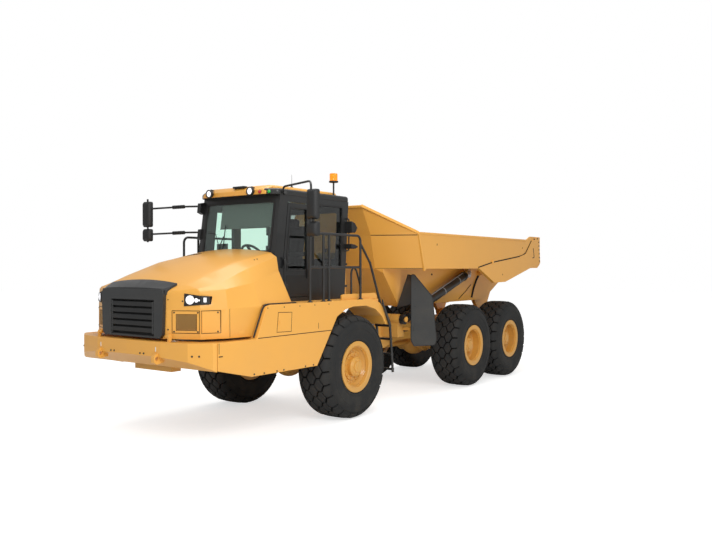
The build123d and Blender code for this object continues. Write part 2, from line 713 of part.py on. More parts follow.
# Bumper: plan outline as a deep beam with a rising belly, and two towing lugs
tow_eye_y = 572
tow_eye_height = 1182
tow_eye_radius = 25
tow_eye_inset = 45
tow_lug_width = 60
bumper_top = 1395
bumper_face_bottom = 1212
bumper_rear_x = front_rail_nose_x
bumper_nose_x = nose_reach - 45
bumper_plan = [
    (bumper_rear_x, body_half_width - 10), (bumper_rear_x + 45, body_half_width - 35),
    (bumper_nose_x - 95, body_half_width - 290), (bumper_nose_x - 15, tow_eye_y + 68),
    (bumper_nose_x, 0),
]
with BuildPart() as bumper:
    with BuildSketch(Plane.XY.offset(1030)):
        with BuildLine():
            front = [(ahead(x), y) for x, y in bumper_plan]
            Polyline(*front, *[(x, -y) for x, y in reversed(front[:-1])], close=True)
        make_face()
    extrude(amount=bumper_top - 1030)
    # Belly, rising to the front
    with BuildSketch(Plane.XZ.offset(-body_half_width)):
        with BuildLine():
            Polyline((ahead(bumper_rear_x - 5), 1000), (ahead(bumper_rear_x - 5), 1035),
                     (ahead(bumper_nose_x), bumper_face_bottom),
                     (ahead(nose_reach) + 10, bumper_face_bottom),
                     (ahead(nose_reach) + 10, 1000), close=True)
        make_face()
    extrude(amount=2 * body_half_width, mode=Mode.SUBTRACT)
    for side in (1, -1):
        with BuildSketch(Plane.XZ.offset(-side * (tow_eye_y - tow_lug_width / 2))):
            with BuildLine():
                Polyline((ahead(nose_reach - 160), tow_eye_height + 68),
                         (ahead(nose_reach - 40), tow_eye_height + 68),
                         (ahead(nose_reach), tow_eye_height + 28),
                         (ahead(nose_reach), tow_eye_height - 42),
                         (ahead(nose_reach - 40), tow_eye_height - 72),
                         (ahead(nose_reach - 160), tow_eye_height - 52), close=True)
            make_face()
            with Locations((ahead(nose_reach - tow_eye_inset), tow_eye_height)):
                Circle(tow_eye_radius, mode=Mode.SUBTRACT)
        extrude(amount=-side * tow_lug_width)
        # Hood hinge bracket on the beam, with its pin
        with BuildSketch(Plane.XZ.offset(-side * (hood_hinge_y + hood_knuckle_width + 6))):
            with Locations((ahead(hood_hinge_x), (bumper_top + hood_hinge_height) / 2)):
                Rectangle(50, hood_hinge_height - bumper_top)
            with Locations((ahead(hood_hinge_x), hood_hinge_height)):
                Circle(25)
        extrude(amount=-side * 30)
        with Locations((ahead(hood_hinge_x), side * (hood_hinge_y + 35), hood_hinge_height)):
            Cylinder(hood_hinge_pin, 80, rotation=(90, 0, 0))
finish(bumper, "bumper")

# Fenders: side plate with its arch, a guard over the tyre and the lower skirt
skirt_nose_x = bumper_rear_x - 6
skirt_plate = [
    (skirt_nose_x, 1395), (skirt_nose_x, 1050), (2280, 912), (930, 912), (590, 1397),
    (455, 1594), (250, 1690), (40, 1726), (-300, 1726), (-560, 1660), (-740, 1540),
    (-850, 1400), (-930, 1400), (-860, 1600), (-680, 1760), (-450, fender_top),
    (1900, fender_top), (1975, fender_top - 18), (2015, fender_top - 60), (2180, 1412),
]
guard_curve = skirt_plate[5:12]
with BuildPart() as fenders:
    for side in (1, -1):
        with BuildSketch(Plane.XZ.offset(-side * fender_inner)):
            with BuildLine():
                Polyline(*[(ahead(x), z) for x, z in skirt_plate],
                         (ahead(2190), 1395), close=True)
            make_face()
        extrude(amount=-side * (body_half_width - fender_inner))
        with BuildSketch(Plane.XZ.offset(-side * 790)):
            with BuildLine():
                lower = [(ahead(x), z) for x, z in guard_curve]
                upper = [(ahead(x * 1.02), z + 22) for x, z in reversed(guard_curve)]
                Polyline(*lower, *upper, close=True)
            make_face()
        extrude(amount=-side * (fender_inner - 790))
finish(fenders, "fenders")

# Deck under the cab, standing on the frame's posts
with BuildPart() as deck:
    with BuildSketch(Plane.XY.offset(deck_top - deck_thick)):
        with Locations((ahead((hood_rear_x - 20 + deck_rear_x) / 2), 0)):
            Rectangle(hood_rear_x - 20 - deck_rear_x, 2 * fender_inner)
    extrude(amount=deck_thick)
finish(deck, "deck")

# Engine, one plain block on the cross members
with BuildPart() as engine:
    with Locations((ahead(1960), 0, rail_bottom + 70 + 450)):
        Box(1250, 640, 900)
finish(engine, "engine")

# Radiator on the front cross member: a narrow foot between the rails, then the core
# with its fan shroud behind
radiator_x = 2720
core_low = rail_bottom + rail_height + 10
core_high = 1900
with BuildPart() as radiator:
    with Locations((ahead(radiator_x), 0, (rail_bottom + 70 + core_low) / 2)):
        Box(90, 2 * front_rail_inner - 30, core_low - rail_bottom - 70)
    with Locations((ahead(radiator_x), 0, (core_low + core_high) / 2)):
        Box(90, 1000, core_high - core_low)
    with BuildSketch(Plane.YZ.offset(ahead(radiator_x) - 45)):
        with Locations((0, (core_low + core_high) / 2)):
            Rectangle(900, core_high - core_low - 60)
    extrude(amount=-55, taper=30)
finish(radiator, "radiator")

# Cab shell: side profile, hollowed, with its windows and the left door opening cut
cab_profile = [(-460, deck_top), (1205, deck_top), (1240, 2510), (1110, 3400), (-570, 3400)]
door_profile = [(430, 1890), (1020, 1890), (1030, 2500), (930, 3290), (430, 3290)]
door_glass_profile = [(500, 2290), (955, 2290), (958, 2490), (870, 3220), (500, 3220)]
rear_glass_profile = [(-360, 2330), (340, 2330), (340, 3300), (-400, 3300)]


def side_face(points, y, grow=0):
    """Outline of a side panel at a given Y, offset outward by grow."""
    with BuildSketch(Plane.XZ.offset(-y)) as view:
        with BuildLine():
            Polyline(*[(ahead(x), z) for x, z in points], close=True)
        make_face()
        if grow:
            offset(amount=grow, kind=Kind.INTERSECTION)
    return view.sketch


windscreen_foot = Vector(ahead(1240), 0, 2510)
windscreen_top = Vector(ahead(1110), 0, 3400)
screen_plane = Plane(origin=windscreen_foot, x_dir=(0, 1, 0),
                     z_dir=(windscreen_top - windscreen_foot).cross(Vector(0, -1, 0)))
screen_half = 700
screen_low = 60
screen_high = 800


def screen_outline(grow):
    """Windscreen outline on the screen's plane, X across the cab and Y up the glass."""
    up = 1 if screen_plane.y_dir.Z > 0 else -1
    with BuildSketch(screen_plane) as view:
        with Locations((0, up * (screen_low + screen_high) / 2)):
            RectangleRounded(2 * (screen_half + grow), screen_high - screen_low + 2 * grow, 50)
    return view.sketch


cab_outer = side_face(cab_profile, cab_half_width)
cab_inner = side_face(cab_profile, cab_half_width - cab_wall, -cab_wall)
door_hole = side_face(door_profile, cab_half_width + 10, door_gap)
rear_side_glass = side_face(rear_glass_profile, cab_half_width + 10)
right_front_glass = side_face(door_glass_profile, 0)
screen_hole = screen_outline(0)
with BuildPart() as cab_shell:
    extrude(cab_outer, amount=2 * cab_half_width)
    extrude(cab_inner, amount=2 * (cab_half_width - cab_wall), mode=Mode.SUBTRACT)
    extrude(door_hole, amount=cab_wall + 30, mode=Mode.SUBTRACT)
    extrude(rear_side_glass, amount=2 * cab_half_width + 20, mode=Mode.SUBTRACT)
    extrude(right_front_glass, amount=cab_half_width + 20, mode=Mode.SUBTRACT)
    extrude(screen_hole, amount=90, both=True, mode=Mode.SUBTRACT)
    # Rear window
    with BuildSketch(Plane.YZ.offset(ahead(-700))):
        with Locations((0, 2850)):
            RectangleRounded(1200, 780, 50)
    extrude(amount=400, mode=Mode.SUBTRACT)
    # Ears above and below each door hinge barrel, with the pin through them
    for z in door_hinge_heights:
        for ear_z in (z - door_barrel_half - 22, z + door_barrel_half + 2):
            with BuildSketch(Plane.XY.offset(ear_z)):
                with Locations((ahead(door_hinge_x), cab_half_width + door_hinge_out)):
                    Circle(door_barrel_radius)
                with Locations((ahead(door_hinge_x + 25), cab_half_width + door_hinge_out / 2)):
                    Rectangle(50, door_hinge_out)
            extrude(amount=20)
        with Locations((ahead(door_hinge_x), cab_half_width + door_hinge_out, z)):
            Cylinder(door_pin_radius, 2 * (door_barrel_half + 12))
finish(cab_shell, "cab_shell")

glass_set = 18
rear_glass_side = side_face(rear_glass_profile, cab_half_width - glass_set)
right_glass = side_face(door_glass_profile, -(cab_half_width - glass_set - glass_thick))
with BuildPart() as cab_glass:
    extrude(screen_hole, amount=-glass_thick)
    extrude(rear_glass_side, amount=glass_thick)
    extrude(side_face(rear_glass_profile, glass_set + glass_thick - cab_half_width),
            amount=glass_thick)
    extrude(right_glass, amount=glass_thick)
finish(cab_glass, "cab_glass")

# Left door, hinged at its front edge
door_panel = side_face(door_profile, cab_half_width)
door_window = side_face(door_glass_profile, cab_half_width)
door_pane = side_face(door_glass_profile, cab_half_width - glass_set)
with BuildPart() as door:
    extrude(door_panel, amount=cab_wall)
    extrude(door_window, amount=cab_wall, mode=Mode.SUBTRACT)
    # Hinge barrels ahead of the front edge, and the handle
    for z in door_hinge_heights:
        with Locations((ahead(door_hinge_x - 40), cab_half_width + 13, z)):
            Box(75, 26, 60)
        with Locations((ahead(door_hinge_x), cab_half_width + door_hinge_out, z)):
            Cylinder(door_barrel_radius, 2 * door_barrel_half)
            Cylinder(door_pin_radius + running_gap, 2 * door_barrel_half, mode=Mode.SUBTRACT)
    with Locations((ahead(490), cab_half_width + 14, 2240)):
        Box(60, 28, 160)
finish(door, "door")

with BuildPart() as door_glass:
    extrude(door_pane, amount=glass_thick)
finish(door_glass, "door_glass")

# Roof moulding with its visor, and the raised cap
with BuildPart() as roof:
    with BuildSketch(Plane.XY.offset(3400)):
        with BuildLine():
            FilletPolyline(
                (ahead(-590), -810), (ahead(1150), -810), (ahead(1270), -640),
                (ahead(1270), 640), (ahead(1150), 810), (ahead(-590), 810),
                radius=70, close=True,
            )
        make_face()
    extrude(amount=90)
    chamfer(roof.faces().sort_by(Axis.Z)[-1].edges(), 25)
finish(roof, "roof")

with BuildPart() as roof_cap:
    with BuildSketch(Plane.XY.offset(3490)):
        with Locations((ahead(330), 0)):
            RectangleRounded(1640, 1340, 120)
    extrude(amount=60)
    chamfer(roof_cap.faces().sort_by(Axis.Z)[-1].edges(), 30)
finish(roof_cap, "roof_cap")

# Work lamps on the visor. Columns: Y, radius
lamp_rows = [(-424, 62), (424, 62), (-120, 40), (120, 40)]
with BuildPart() as roof_lamps:
    for y, radius in lamp_rows:
        with Locations((ahead(1205), y, 3490 + radius)):
            Cylinder(radius, 80, rotation=(0, 90, 0))
finish(roof_lamps, "roof_lamps")

with BuildPart() as beacon:
    with Locations((ahead(-300), 700, 3490)):
        Cylinder(14, 270, align=(Align.CENTER, Align.CENTER, Align.MIN))
    with Locations((ahead(-300), 700, 3730)):
        Cylinder(70, 30, align=(Align.CENTER, Align.CENTER, Align.MIN))
        Cylinder(60, 120, align=(Align.CENTER, Align.CENTER, Align.MIN))
finish(beacon, "beacon")

# Seat and console on the cab floor
cab_floor = deck_top + cab_wall
with BuildPart() as seat:
    with Locations((ahead(250), 0, cab_floor)):
        Box(380, 360, 330, align=(Align.CENTER, Align.CENTER, Align.MIN))
    with Locations((ahead(270), 0, cab_floor + 330)):
        Box(520, 520, 130, align=(Align.CENTER, Align.CENTER, Align.MIN))
    with BuildSketch(Plane.XZ.offset(-240)):
        with BuildLine():
            Polyline((ahead(90), cab_floor + 440), (ahead(-40), cab_floor + 1130),
                     (ahead(-150), cab_floor + 1130), (ahead(-30), cab_floor + 440), close=True)
        make_face()
    extrude(amount=480)
finish(seat, "seat")

with BuildPart() as console:
    with BuildSketch(Plane.XZ.offset(-700)):
        with BuildLine():
            Polyline((ahead(1150), cab_floor), (ahead(1170), cab_floor + 560),
                     (ahead(1010), cab_floor + 620), (ahead(930), cab_floor + 520),
                     (ahead(1010), cab_floor), close=True)
        make_face()
    extrude(amount=1400)
    column = Plane(origin=(ahead(960), 0, cab_floor + 540), z_dir=(-0.75, 0, 0.66))
    with BuildSketch(column):
        Circle(35)
    extrude(amount=170)
    with BuildSketch(column.offset(150)):
        Circle(215)
        Circle(188, mode=Mode.SUBTRACT)
        Rectangle(400, 40)
    extrude(amount=26)
finish(console, "console")

# Tank and air box behind the cab, on the deck
with BuildPart() as rear_tank:
    with BuildSketch(Plane.XY.offset(deck_top)):
        with Locations((ahead(-600), 420)):
            RectangleRounded(150, 560, 60)
    extrude(amount=760)
finish(rear_tank, "rear_tank")


def tube(points, radius, bend):
    """Round tube along straight runs joined by arcs."""
    with BuildLine() as route:
        if len(points) > 2:
            FilletPolyline(*points, radius=bend)
        else:
            Line(*points)
    with BuildSketch(Plane(origin=route.line @ 0, z_dir=route.line % 0)) as ring:
        Circle(radius)
    return sweep(ring.sketch, path=route.line, mode=Mode.PRIVATE)


rail_tube = 19
rail_top = 2820
rail_middle = 2330
foot_height = fender_top
rail_side = body_half_width - 23
grab_y = fender_inner - 35
with BuildPart() as handrails:
    for side in (1, -1):
        y = side * rail_side
        runs = [
            [(-170, foot_height), (-170, rail_top), (1070, rail_top), (1070, foot_height)],
        ]
        for run in runs:
            add(tube([(ahead(x), y, z) for x, z in run], rail_tube, 90))
        add(tube([(ahead(-170), y, rail_middle), (ahead(1070), y, rail_middle)], rail_tube, 0))
        if side > 0:
            grab = [(-170, y, 2700), (-516, grab_y, 2400), (-925, grab_y, 1480),
                    (-925, grab_y, 1385)]
            add(tube([(ahead(x), across, z) for x, across, z in grab], rail_tube, 120))
        for post_x in (630, 760):
            add(tube([(ahead(post_x), y, foot_height), (ahead(post_x), y, rail_top)],
                     rail_tube, 0))
finish(handrails, "handrails")

# Ladder behind the left front wheel, hung from the deck's rear edge
ladder_side = [
    (deck_rear_x - running_gap, 1815), (-950, 1400), (-1040, 600), (-990, 600),
    (-905, 1380), (deck_rear_x - running_gap, 1745),
]
ladder_width = 280
ladder_inner = fender_inner + 85 - ladder_width
with BuildPart() as ladder:
    for y in (ladder_inner, ladder_inner + ladder_width - 20):
        with BuildSketch(Plane.XZ.offset(-y)):
            with BuildLine():
                Polyline(*[(ahead(x), z) for x, z in ladder_side], close=True)
            make_face()
        extrude(amount=-20)
    for step_x, step_z in ((-1008, 650), (-982, 900), (-955, 1150), (-925, 1370)):
        with Locations((ahead(step_x), ladder_inner + ladder_width / 2, step_z)):
            Box(70, ladder_width, 30)
finish(ladder, "ladder")

# Mirrors: two arms from the roof corner and the deck rail, head outside the body
with BuildPart() as mirrors:
    for side in (1, -1):
        arm = [(1180, 780, 3440), (1500, 1500, 3440), (1500, 1700, 3440)]
        add(tube([(ahead(x), side * y, z) for x, y, z in arm], 18, 60))
        arm = [(1500, 1700, 3470), (1500, 1700, 2720)]
        add(tube([(ahead(x), side * y, z) for x, y, z in arm], 18, 60))
        for low, high in ((2980, 3390), (2750, 2950)):
            with Locations((ahead(1500), side * 1720, (low + high) / 2)):
                Box(90, 190, high - low)
    add(roof.part, mode=Mode.SUBTRACT)
finish(mirrors, "mirrors")


# Hood: skinned loft over sections across the truck, each an arc over the crown and
# straight flanks. Columns: share of the hood's length, crown height, then half width and
# height of the crown's edge, the shoulder, the haunch and the belt, half width at the foot
hood_length = nose_face_x - hood_rear_x
belt_half = body_half_width - 90
hood_rows = [
    (0, 2605, 800, 2545, 915, 2480, 950, 2290, belt_half - 60, 1830, belt_half - 45),
    (0.40, 2470, 800, 2400, 1000, 2310, 1130, 2125, belt_half, 1815, belt_half + 10),
    (0.71, 2290, 800, 2222, 1050, 2120, 1165, 2050, belt_half - 55, 1800, belt_half - 50),
    (0.888, 2170, 800, 2105, 980, 2062, 1025, 2030, belt_half - 217, 1800, belt_half - 215),
    (1, 2050, 560, 2038, 605, 2026, 624, 2000, 630, 1800, 630),
]


def hood_form(skin):
    """Solid of the hood's outside, set in by a skin, or grown by a negative one."""
    sketches = []
    for row in hood_rows:
        share, crown, edge, edge_z, shoulder, shoulder_z, haunch, haunch_z = row[:8]
        belt, belt_z, foot = row[8:]
        with BuildSketch(Plane.YZ.offset(ahead(hood_rear_x + share * hood_length)
                                         - skin * 0.9)) as section_view:
            flank = [
                (edge, edge_z - skin), (shoulder - skin * 0.6, shoulder_z - skin * 0.8),
                (haunch - skin, haunch_z - skin * 0.4), (belt - skin, belt_z),
                (foot - skin, hood_bottom - skin),
            ]
            with BuildLine():
                Polyline(*flank, *[(-y, z) for y, z in reversed(flank)])
                ThreePointArc(flank[0], (0, crown - skin), (-edge, edge_z - skin))
            make_face()
        sketches.append(section_view.sketch)
    return loft(sketches, ruled=True)


def nose_prism(outline, depth):
    """A front view outline run back from the nose, and its mirror image."""
    with BuildPart() as prism:
        with BuildSketch(Plane.YZ.offset(ahead(nose_face_x) + 30)):
            for side in (1, -1):
                with BuildLine():
                    Polyline(*[(side * y, z) for y, z in outline], close=True)
                make_face()
        extrude(amount=-depth)
    return prism.part


hood_outer = hood_form(0)

# Headlamps that wrap round the nose corners, slightly proud of the hood
lamp_outline = [(845, 1841), (845, 2003), (1100, 1964), (1100, 1864)]
lamp_well = nose_prism(lamp_outline, 420)
lamp_proud = 6
lamp_deep = 60
with BuildPart() as headlamps:
    add(hood_form(-lamp_proud))
    add(hood_form(lamp_deep), mode=Mode.SUBTRACT)
    add(lamp_well, mode=Mode.INTERSECT)
finish(headlamps, "headlamps")

# Vent panels on the nose corners, in shallow pockets. Columns: inner and outer half width
vent_low = 1500
vent_high = 1785
vent_pocket = 8
with BuildPart() as vent_pockets:
    for inner, outer in ((700, 1030), (1050, 1165)):
        add(nose_prism([(inner, vent_low), (inner, vent_high), (outer, vent_high),
                        (outer, vent_low)], 620))
    add(hood_form(vent_pocket), mode=Mode.SUBTRACT)

with BuildPart() as hood:
    add(hood_outer)
    add(hood_form(hood_skin), mode=Mode.SUBTRACT)
    # The rear is open, and the sides stop above the fenders
    with BuildSketch(Plane.XZ.offset(-body_half_width)):
        with BuildLine():
            Polyline((ahead(1200), hood_bottom - 50), (ahead(2206), hood_bottom - 50),
                     (ahead(2194), 1412), (ahead(2029), fender_top - 56),
                     (ahead(1985), fender_top - 6), (ahead(1900), fender_top + panel_gap),
                     (ahead(1200), fender_top + panel_gap), close=True)
        make_face()
    extrude(amount=2 * body_half_width, mode=Mode.SUBTRACT)
    # Grille opening in the nose
    with BuildSketch(Plane.YZ.offset(ahead(nose_face_x) - 120)):
        with Locations((0, 1680)):
            Rectangle(2 * grille_opening_half, 460)
    extrude(amount=200, mode=Mode.SUBTRACT)
    add(lamp_well, mode=Mode.SUBTRACT)
    add(vent_pockets.part, mode=Mode.SUBTRACT)
    # Hinge knuckles at the foot of the nose
    for side in (1, -1):
        with BuildSketch(Plane.XZ.offset(-side * hood_hinge_y)):
            with Locations((ahead(hood_hinge_x) - 30, hood_hinge_height + 10)):
                Rectangle(60, 50)
            with Locations((ahead(hood_hinge_x), hood_hinge_height)):
                Circle(22)
                Circle(hood_hinge_pin + running_gap, mode=Mode.SUBTRACT)
        extrude(amount=-side * hood_knuckle_width)
finish(hood, "hood")

# Grille: bezel on the nose with slats over a back plate, and a lip that leans back
# over the hood's leading edge
grille_plane = Plane.YZ.offset(ahead(nose_face_x))
bezel_depth = 50
bezel_half = [
    (560, 1430), (605, 1475), (632, 1990), (600, 2050),
]
slat_rows = 5
slat_pitch = 84
lip_back = 150
lip_thick = 20
with BuildPart() as grille_lip:
    add(hood_form(-lip_thick))
    add(hood_outer, mode=Mode.SUBTRACT)
    with BuildSketch(Plane.XY.offset(1985)):
        with BuildLine():
            Polyline((ahead(nose_face_x) - lip_back, -662), (ahead(nose_face_x) + 40, -632),
                     (ahead(nose_face_x) + 40, 632), (ahead(nose_face_x) - lip_back, 662),
                     close=True)
        make_face()
    extrude(amount=300, mode=Mode.INTERSECT)
with BuildPart() as grille:
    with BuildSketch(grille_plane):
        with BuildLine():
            Polyline(*bezel_half, *[(-y, z) for y, z in reversed(bezel_half)], close=True)
        make_face()
    extrude(amount=bezel_depth)
    # Opening that widens to the front, and the plate behind it
    with BuildSketch(grille_plane.offset(4)):
        with Locations((0, 1682)):
            Rectangle(2 * grille_opening_half - 50, 420)
    extrude(amount=bezel_depth, taper=-28, mode=Mode.SUBTRACT)
    add(grille_lip.part)
    for number in range(slat_rows):
        slat_z = 1500 + slat_pitch * number
        with BuildSketch(Plane.XZ.offset(-grille_opening_half)):
            with BuildLine():
                Polyline((ahead(nose_face_x) + 3, slat_z + 34),
                         (ahead(nose_face_x) + 38, slat_z), (ahead(nose_face_x) + 38, slat_z + 16),
                         (ahead(nose_face_x) + 3, slat_z + 50), close=True)
            make_face()
        extrude(amount=2 * grille_opening_half)
finish(grille, "grille")
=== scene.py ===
import json
import math

import bmesh
import bpy
from mathutils import Matrix, Vector
from mathutils.bvhtree import BVHTree


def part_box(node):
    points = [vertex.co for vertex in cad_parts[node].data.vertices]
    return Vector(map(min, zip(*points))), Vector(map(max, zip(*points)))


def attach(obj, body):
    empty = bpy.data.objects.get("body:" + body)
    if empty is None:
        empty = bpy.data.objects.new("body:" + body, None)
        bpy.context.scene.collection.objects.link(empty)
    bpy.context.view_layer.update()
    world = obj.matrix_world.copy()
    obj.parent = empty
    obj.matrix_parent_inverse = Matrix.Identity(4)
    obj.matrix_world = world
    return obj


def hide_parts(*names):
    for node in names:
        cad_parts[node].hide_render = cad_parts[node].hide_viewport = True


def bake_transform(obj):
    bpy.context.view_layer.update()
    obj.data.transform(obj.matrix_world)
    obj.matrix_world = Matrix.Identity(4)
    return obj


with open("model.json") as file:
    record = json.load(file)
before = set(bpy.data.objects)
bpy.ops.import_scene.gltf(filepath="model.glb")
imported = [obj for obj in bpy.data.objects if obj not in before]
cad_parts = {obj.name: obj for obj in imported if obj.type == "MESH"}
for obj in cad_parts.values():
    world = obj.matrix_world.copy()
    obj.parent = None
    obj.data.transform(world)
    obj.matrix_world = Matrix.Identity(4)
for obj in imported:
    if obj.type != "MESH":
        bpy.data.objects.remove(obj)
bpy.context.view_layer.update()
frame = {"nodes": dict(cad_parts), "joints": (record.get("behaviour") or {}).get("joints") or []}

joints = {joint["name"]: joint for joint in frame["joints"]}
frontAxleX = joints["wheel_front_left_spin"]["pos_m"][0]  # X of the front axle in the model
# Middle of each wheel by the end of its body's name
wheels = {name[len("wheel_"):-len("_spin")]: joint["pos_m"] for name, joint in joints.items()
          if name.startswith("wheel_")}
skins = {}
sides = ((1, "left"), (-1, "right"))


def at(x, y, z):
    # Point of the model from metres ahead of the front axle, left and up
    return Vector((frontAxleX + x, y, z))


def mirrored(points, side):
    # The same points on the left or, with a side of -1, on the right
    return [at(x, side * y, z) for x, y, z in points]


def rect(a0, a1, b0, b1):
    return [(a0, b0), (a1, b0), (a1, b1), (a0, b1)]


def turns(count, shift=0.0):
    # Even angles round a full turn
    return [2 * math.pi * (k + shift) / count for k in range(count)]


def onSkin(node, start, direction):
    # Where a line from start first meets a CAD node: the point and the face's normal
    if node not in skins:
        data = frame["nodes"][node].data
        skins[node] = BVHTree.FromPolygons([v.co for v in data.vertices], [f.vertices for f in data.polygons])
    spot, normal = skins[node].ray_cast(Vector(start), Vector(direction).normalized())[:2]
    if spot is None:
        raise ValueError(f"no skin of {node} at {start}")
    return spot, normal


def sideSkin(node, x, z, side, start=2.0):
    # The same for a level line from the left or right
    return onSkin(node, at(x, side * start, z), (0, -side, 0))


# Mesh helpers

def newMeshes(count):
    return [bmesh.new() for _ in range(count)]


def addLoop(bm, points):
    return [bm.verts.new(p) for p in points]


def skinRings(bm, rings, cap=True, closed=False):
    # Faces between rings of as many points, and over both ends unless the last ring joins the first
    for first, second in zip(rings, rings[1:] + ([rings[0]] if closed else [])):
        for i in range(len(first)):
            j = (i + 1) % len(first)
            bm.faces.new((first[i], first[j], second[j], second[i]))
    if cap and not closed:
        bm.faces.new(list(reversed(rings[0])))
        bm.faces.new(rings[-1])


def addPrism(bm, outline, low, high, axis):
    # An outline of the two other axes, in order, pushed from low to high along one axis
    order = {"x": (2, 0, 1), "y": (0, 2, 1), "z": (0, 1, 2)}[axis]
    skinRings(bm, [addLoop(bm, [at(*((a, b, c)[i] for i in order)) for a, b in outline]) for c in (low, high)])


def addBox(bm, middle, size):
    (x0, x1), (y0, y1), (z0, z1) = ((m - s / 2, m + s / 2) for m, s in zip(middle, size))
    addPrism(bm, rect(x0, x1, y0, y1), z0, z1, "z")


def axes(direction):
    # Two unit vectors square to a direction
    d = Vector(direction).normalized()
    side = d.cross(Vector((0, 0, 1)))
    if side.length < 0.05:
        side = d.cross(Vector((0, 1, 0)))
    side.normalize()
    return side, d.cross(side)


def addLathe(bm, profile, centre, direction, steps=32, cap=True):
    # Profile columns: distance along the axis, radius
    d = Vector(direction).normalized()
    u, v = axes(d)
    skinRings(bm, [addLoop(bm, [Vector(centre) + d * along + (u * math.cos(a) + v * math.sin(a)) * radius
                                for a in turns(steps)]) for along, radius in profile], cap)


def cornerArc(before, corner, after, reach):
    # Five points that round off a corner, over no more than nearly half of a side
    a, b = before - corner, after - corner
    cut = min(reach, a.length * 0.45, b.length * 0.45)
    start, end = corner + a.normalized() * cut, corner + b.normalized() * cut
    return [start.lerp(corner, t).lerp(corner.lerp(end, t), t) for t in (0, 0.25, 0.5, 0.75, 1)]


def addTube(bm, points, radius, bend=0.06, sides=10):
    # A round tube along straight runs with rounded corners
    points = [Vector(p) for p in points]
    route = [points[0]]
    for before, corner, after in zip(points, points[1:], points[2:]):
        route += cornerArc(before, corner, after, bend)
    route.append(points[-1])
    rings = []
    u, v = axes(route[1] - route[0])
    for i, p in enumerate(route):
        d = (route[min(i + 1, len(route) - 1)] - route[max(i - 1, 0)]).normalized()
        u = (u - d * u.dot(d)).normalized()
        v = d.cross(u)
        rings.append(addLoop(bm, [p + (u * math.cos(a) + v * math.sin(a)) * radius for a in turns(sides)]))
    skinRings(bm, rings)


def addSlab(bm, points, normal, low, high, hole=None):
    # A flat outline raised along a normal from low to high, with an optional hole of as many corners
    n = Vector(normal).normalized()
    lower, upper = (addLoop(bm, [Vector(p) + n * rise for p in points]) for rise in (low, high))
    if hole is None:
        skinRings(bm, [lower, upper])
        return
    inLower, inUpper = (addLoop(bm, [Vector(p) + n * rise for p in hole]) for rise in (low, high))
    skinRings(bm, [lower, upper, inUpper, inLower], closed=True)


def addSidePlate(bm, outline, y, side, low, high):
    # A slab on an upright face that looks left or right
    addSlab(bm, [at(x, y, z) for x, z in outline], (0, side, 0), low, high)


def addRibbon(bm, points, normal, width, low=-0.002, high=0.0012, closed=False):
    # A flat strip along a route over a flat surface
    points = [Vector(p) for p in points]
    n = Vector(normal).normalized()
    rings = []
    for i, p in enumerate(points):
        before = points[i - 1] if i or closed else None
        after = points[(i + 1) % len(points)] if i + 1 < len(points) or closed else None
        a = (p - before).normalized() if before is not None else (after - p).normalized()
        b = (after - p).normalized() if after is not None else a
        d = (a + b).normalized()
        across = n.cross(d).normalized() * (width / 2 / max(0.4, d.dot(a)))
        rings.append(addLoop(bm, [p - across + n * low, p + across + n * low, p + across + n * high,
                                  p - across + n * high]))
    skinRings(bm, rings, closed=closed)


def addBeam(bm, start, end, across, width, height):
    # Square bar from start to end, with its width along a given direction
    start, end = Vector(start), Vector(end)
    d = (end - start).normalized()
    s = (Vector(across) - d * d.dot(Vector(across))).normalized()
    u = s.cross(d)
    corners = [s * (width / 2 * a) + u * (height / 2 * b) for a, b in rect(-1, 1, -1, 1)]
    skinRings(bm, [addLoop(bm, [p + c for c in corners]) for p in (start, end)])


def growOutline(points, width):
    # A convex outline of two columns, counterclockwise, pushed outward by a width
    grown = []
    for i, p in enumerate(points):
        before, after = Vector(points[i - 1]), Vector(points[(i + 1) % len(points)])
        p = Vector(p)
        a, b = (p - before).normalized(), (after - p).normalized()
        n0, n1 = Vector((a.y, -a.x)), Vector((b.y, -b.x))
        grown.append(p + (n0 + n1) * (width / (1 + n0.dot(n1))))
    return grown


def roundOutline(points, radius):
    points = [Vector(p) for p in points]
    return [q for i, p in enumerate(points)
            for q in cornerArc(points[i - 1], p, points[(i + 1) % len(points)], radius)]


def addGasket(bm, outline, place, normal, width, low, high, radius=0.05):
    # Rounded rubber ring on the edge of a window. place turns the outline's two columns into a point
    outer = roundOutline(growOutline(outline, width * 0.7), radius + width * 0.7)
    inner = roundOutline(growOutline(outline, -width * 0.3), max(radius - width * 0.3, 0.005))
    addSlab(bm, [place(a, b) for a, b in outer], normal, low, high, [place(a, b) for a, b in inner])


def addPad(bm, centre, size, turn, squareness=0.38, rows=14, columns=28):
    # Stuffed block with full rounded edges
    def swell(value):
        return math.copysign(abs(value) ** squareness, value)
    rings = []
    for i in range(1, rows):
        tilt = math.pi * i / rows - math.pi / 2
        rings.append(addLoop(bm, [turn @ Vector((
            swell(math.cos(tilt)) * swell(math.cos(a)) * size[0] / 2,
            swell(math.cos(tilt)) * swell(math.sin(a)) * size[1] / 2, swell(math.sin(tilt)) * size[2] / 2,
        )) + Vector(centre) for a in turns(columns)]))
    skinRings(bm, rings)


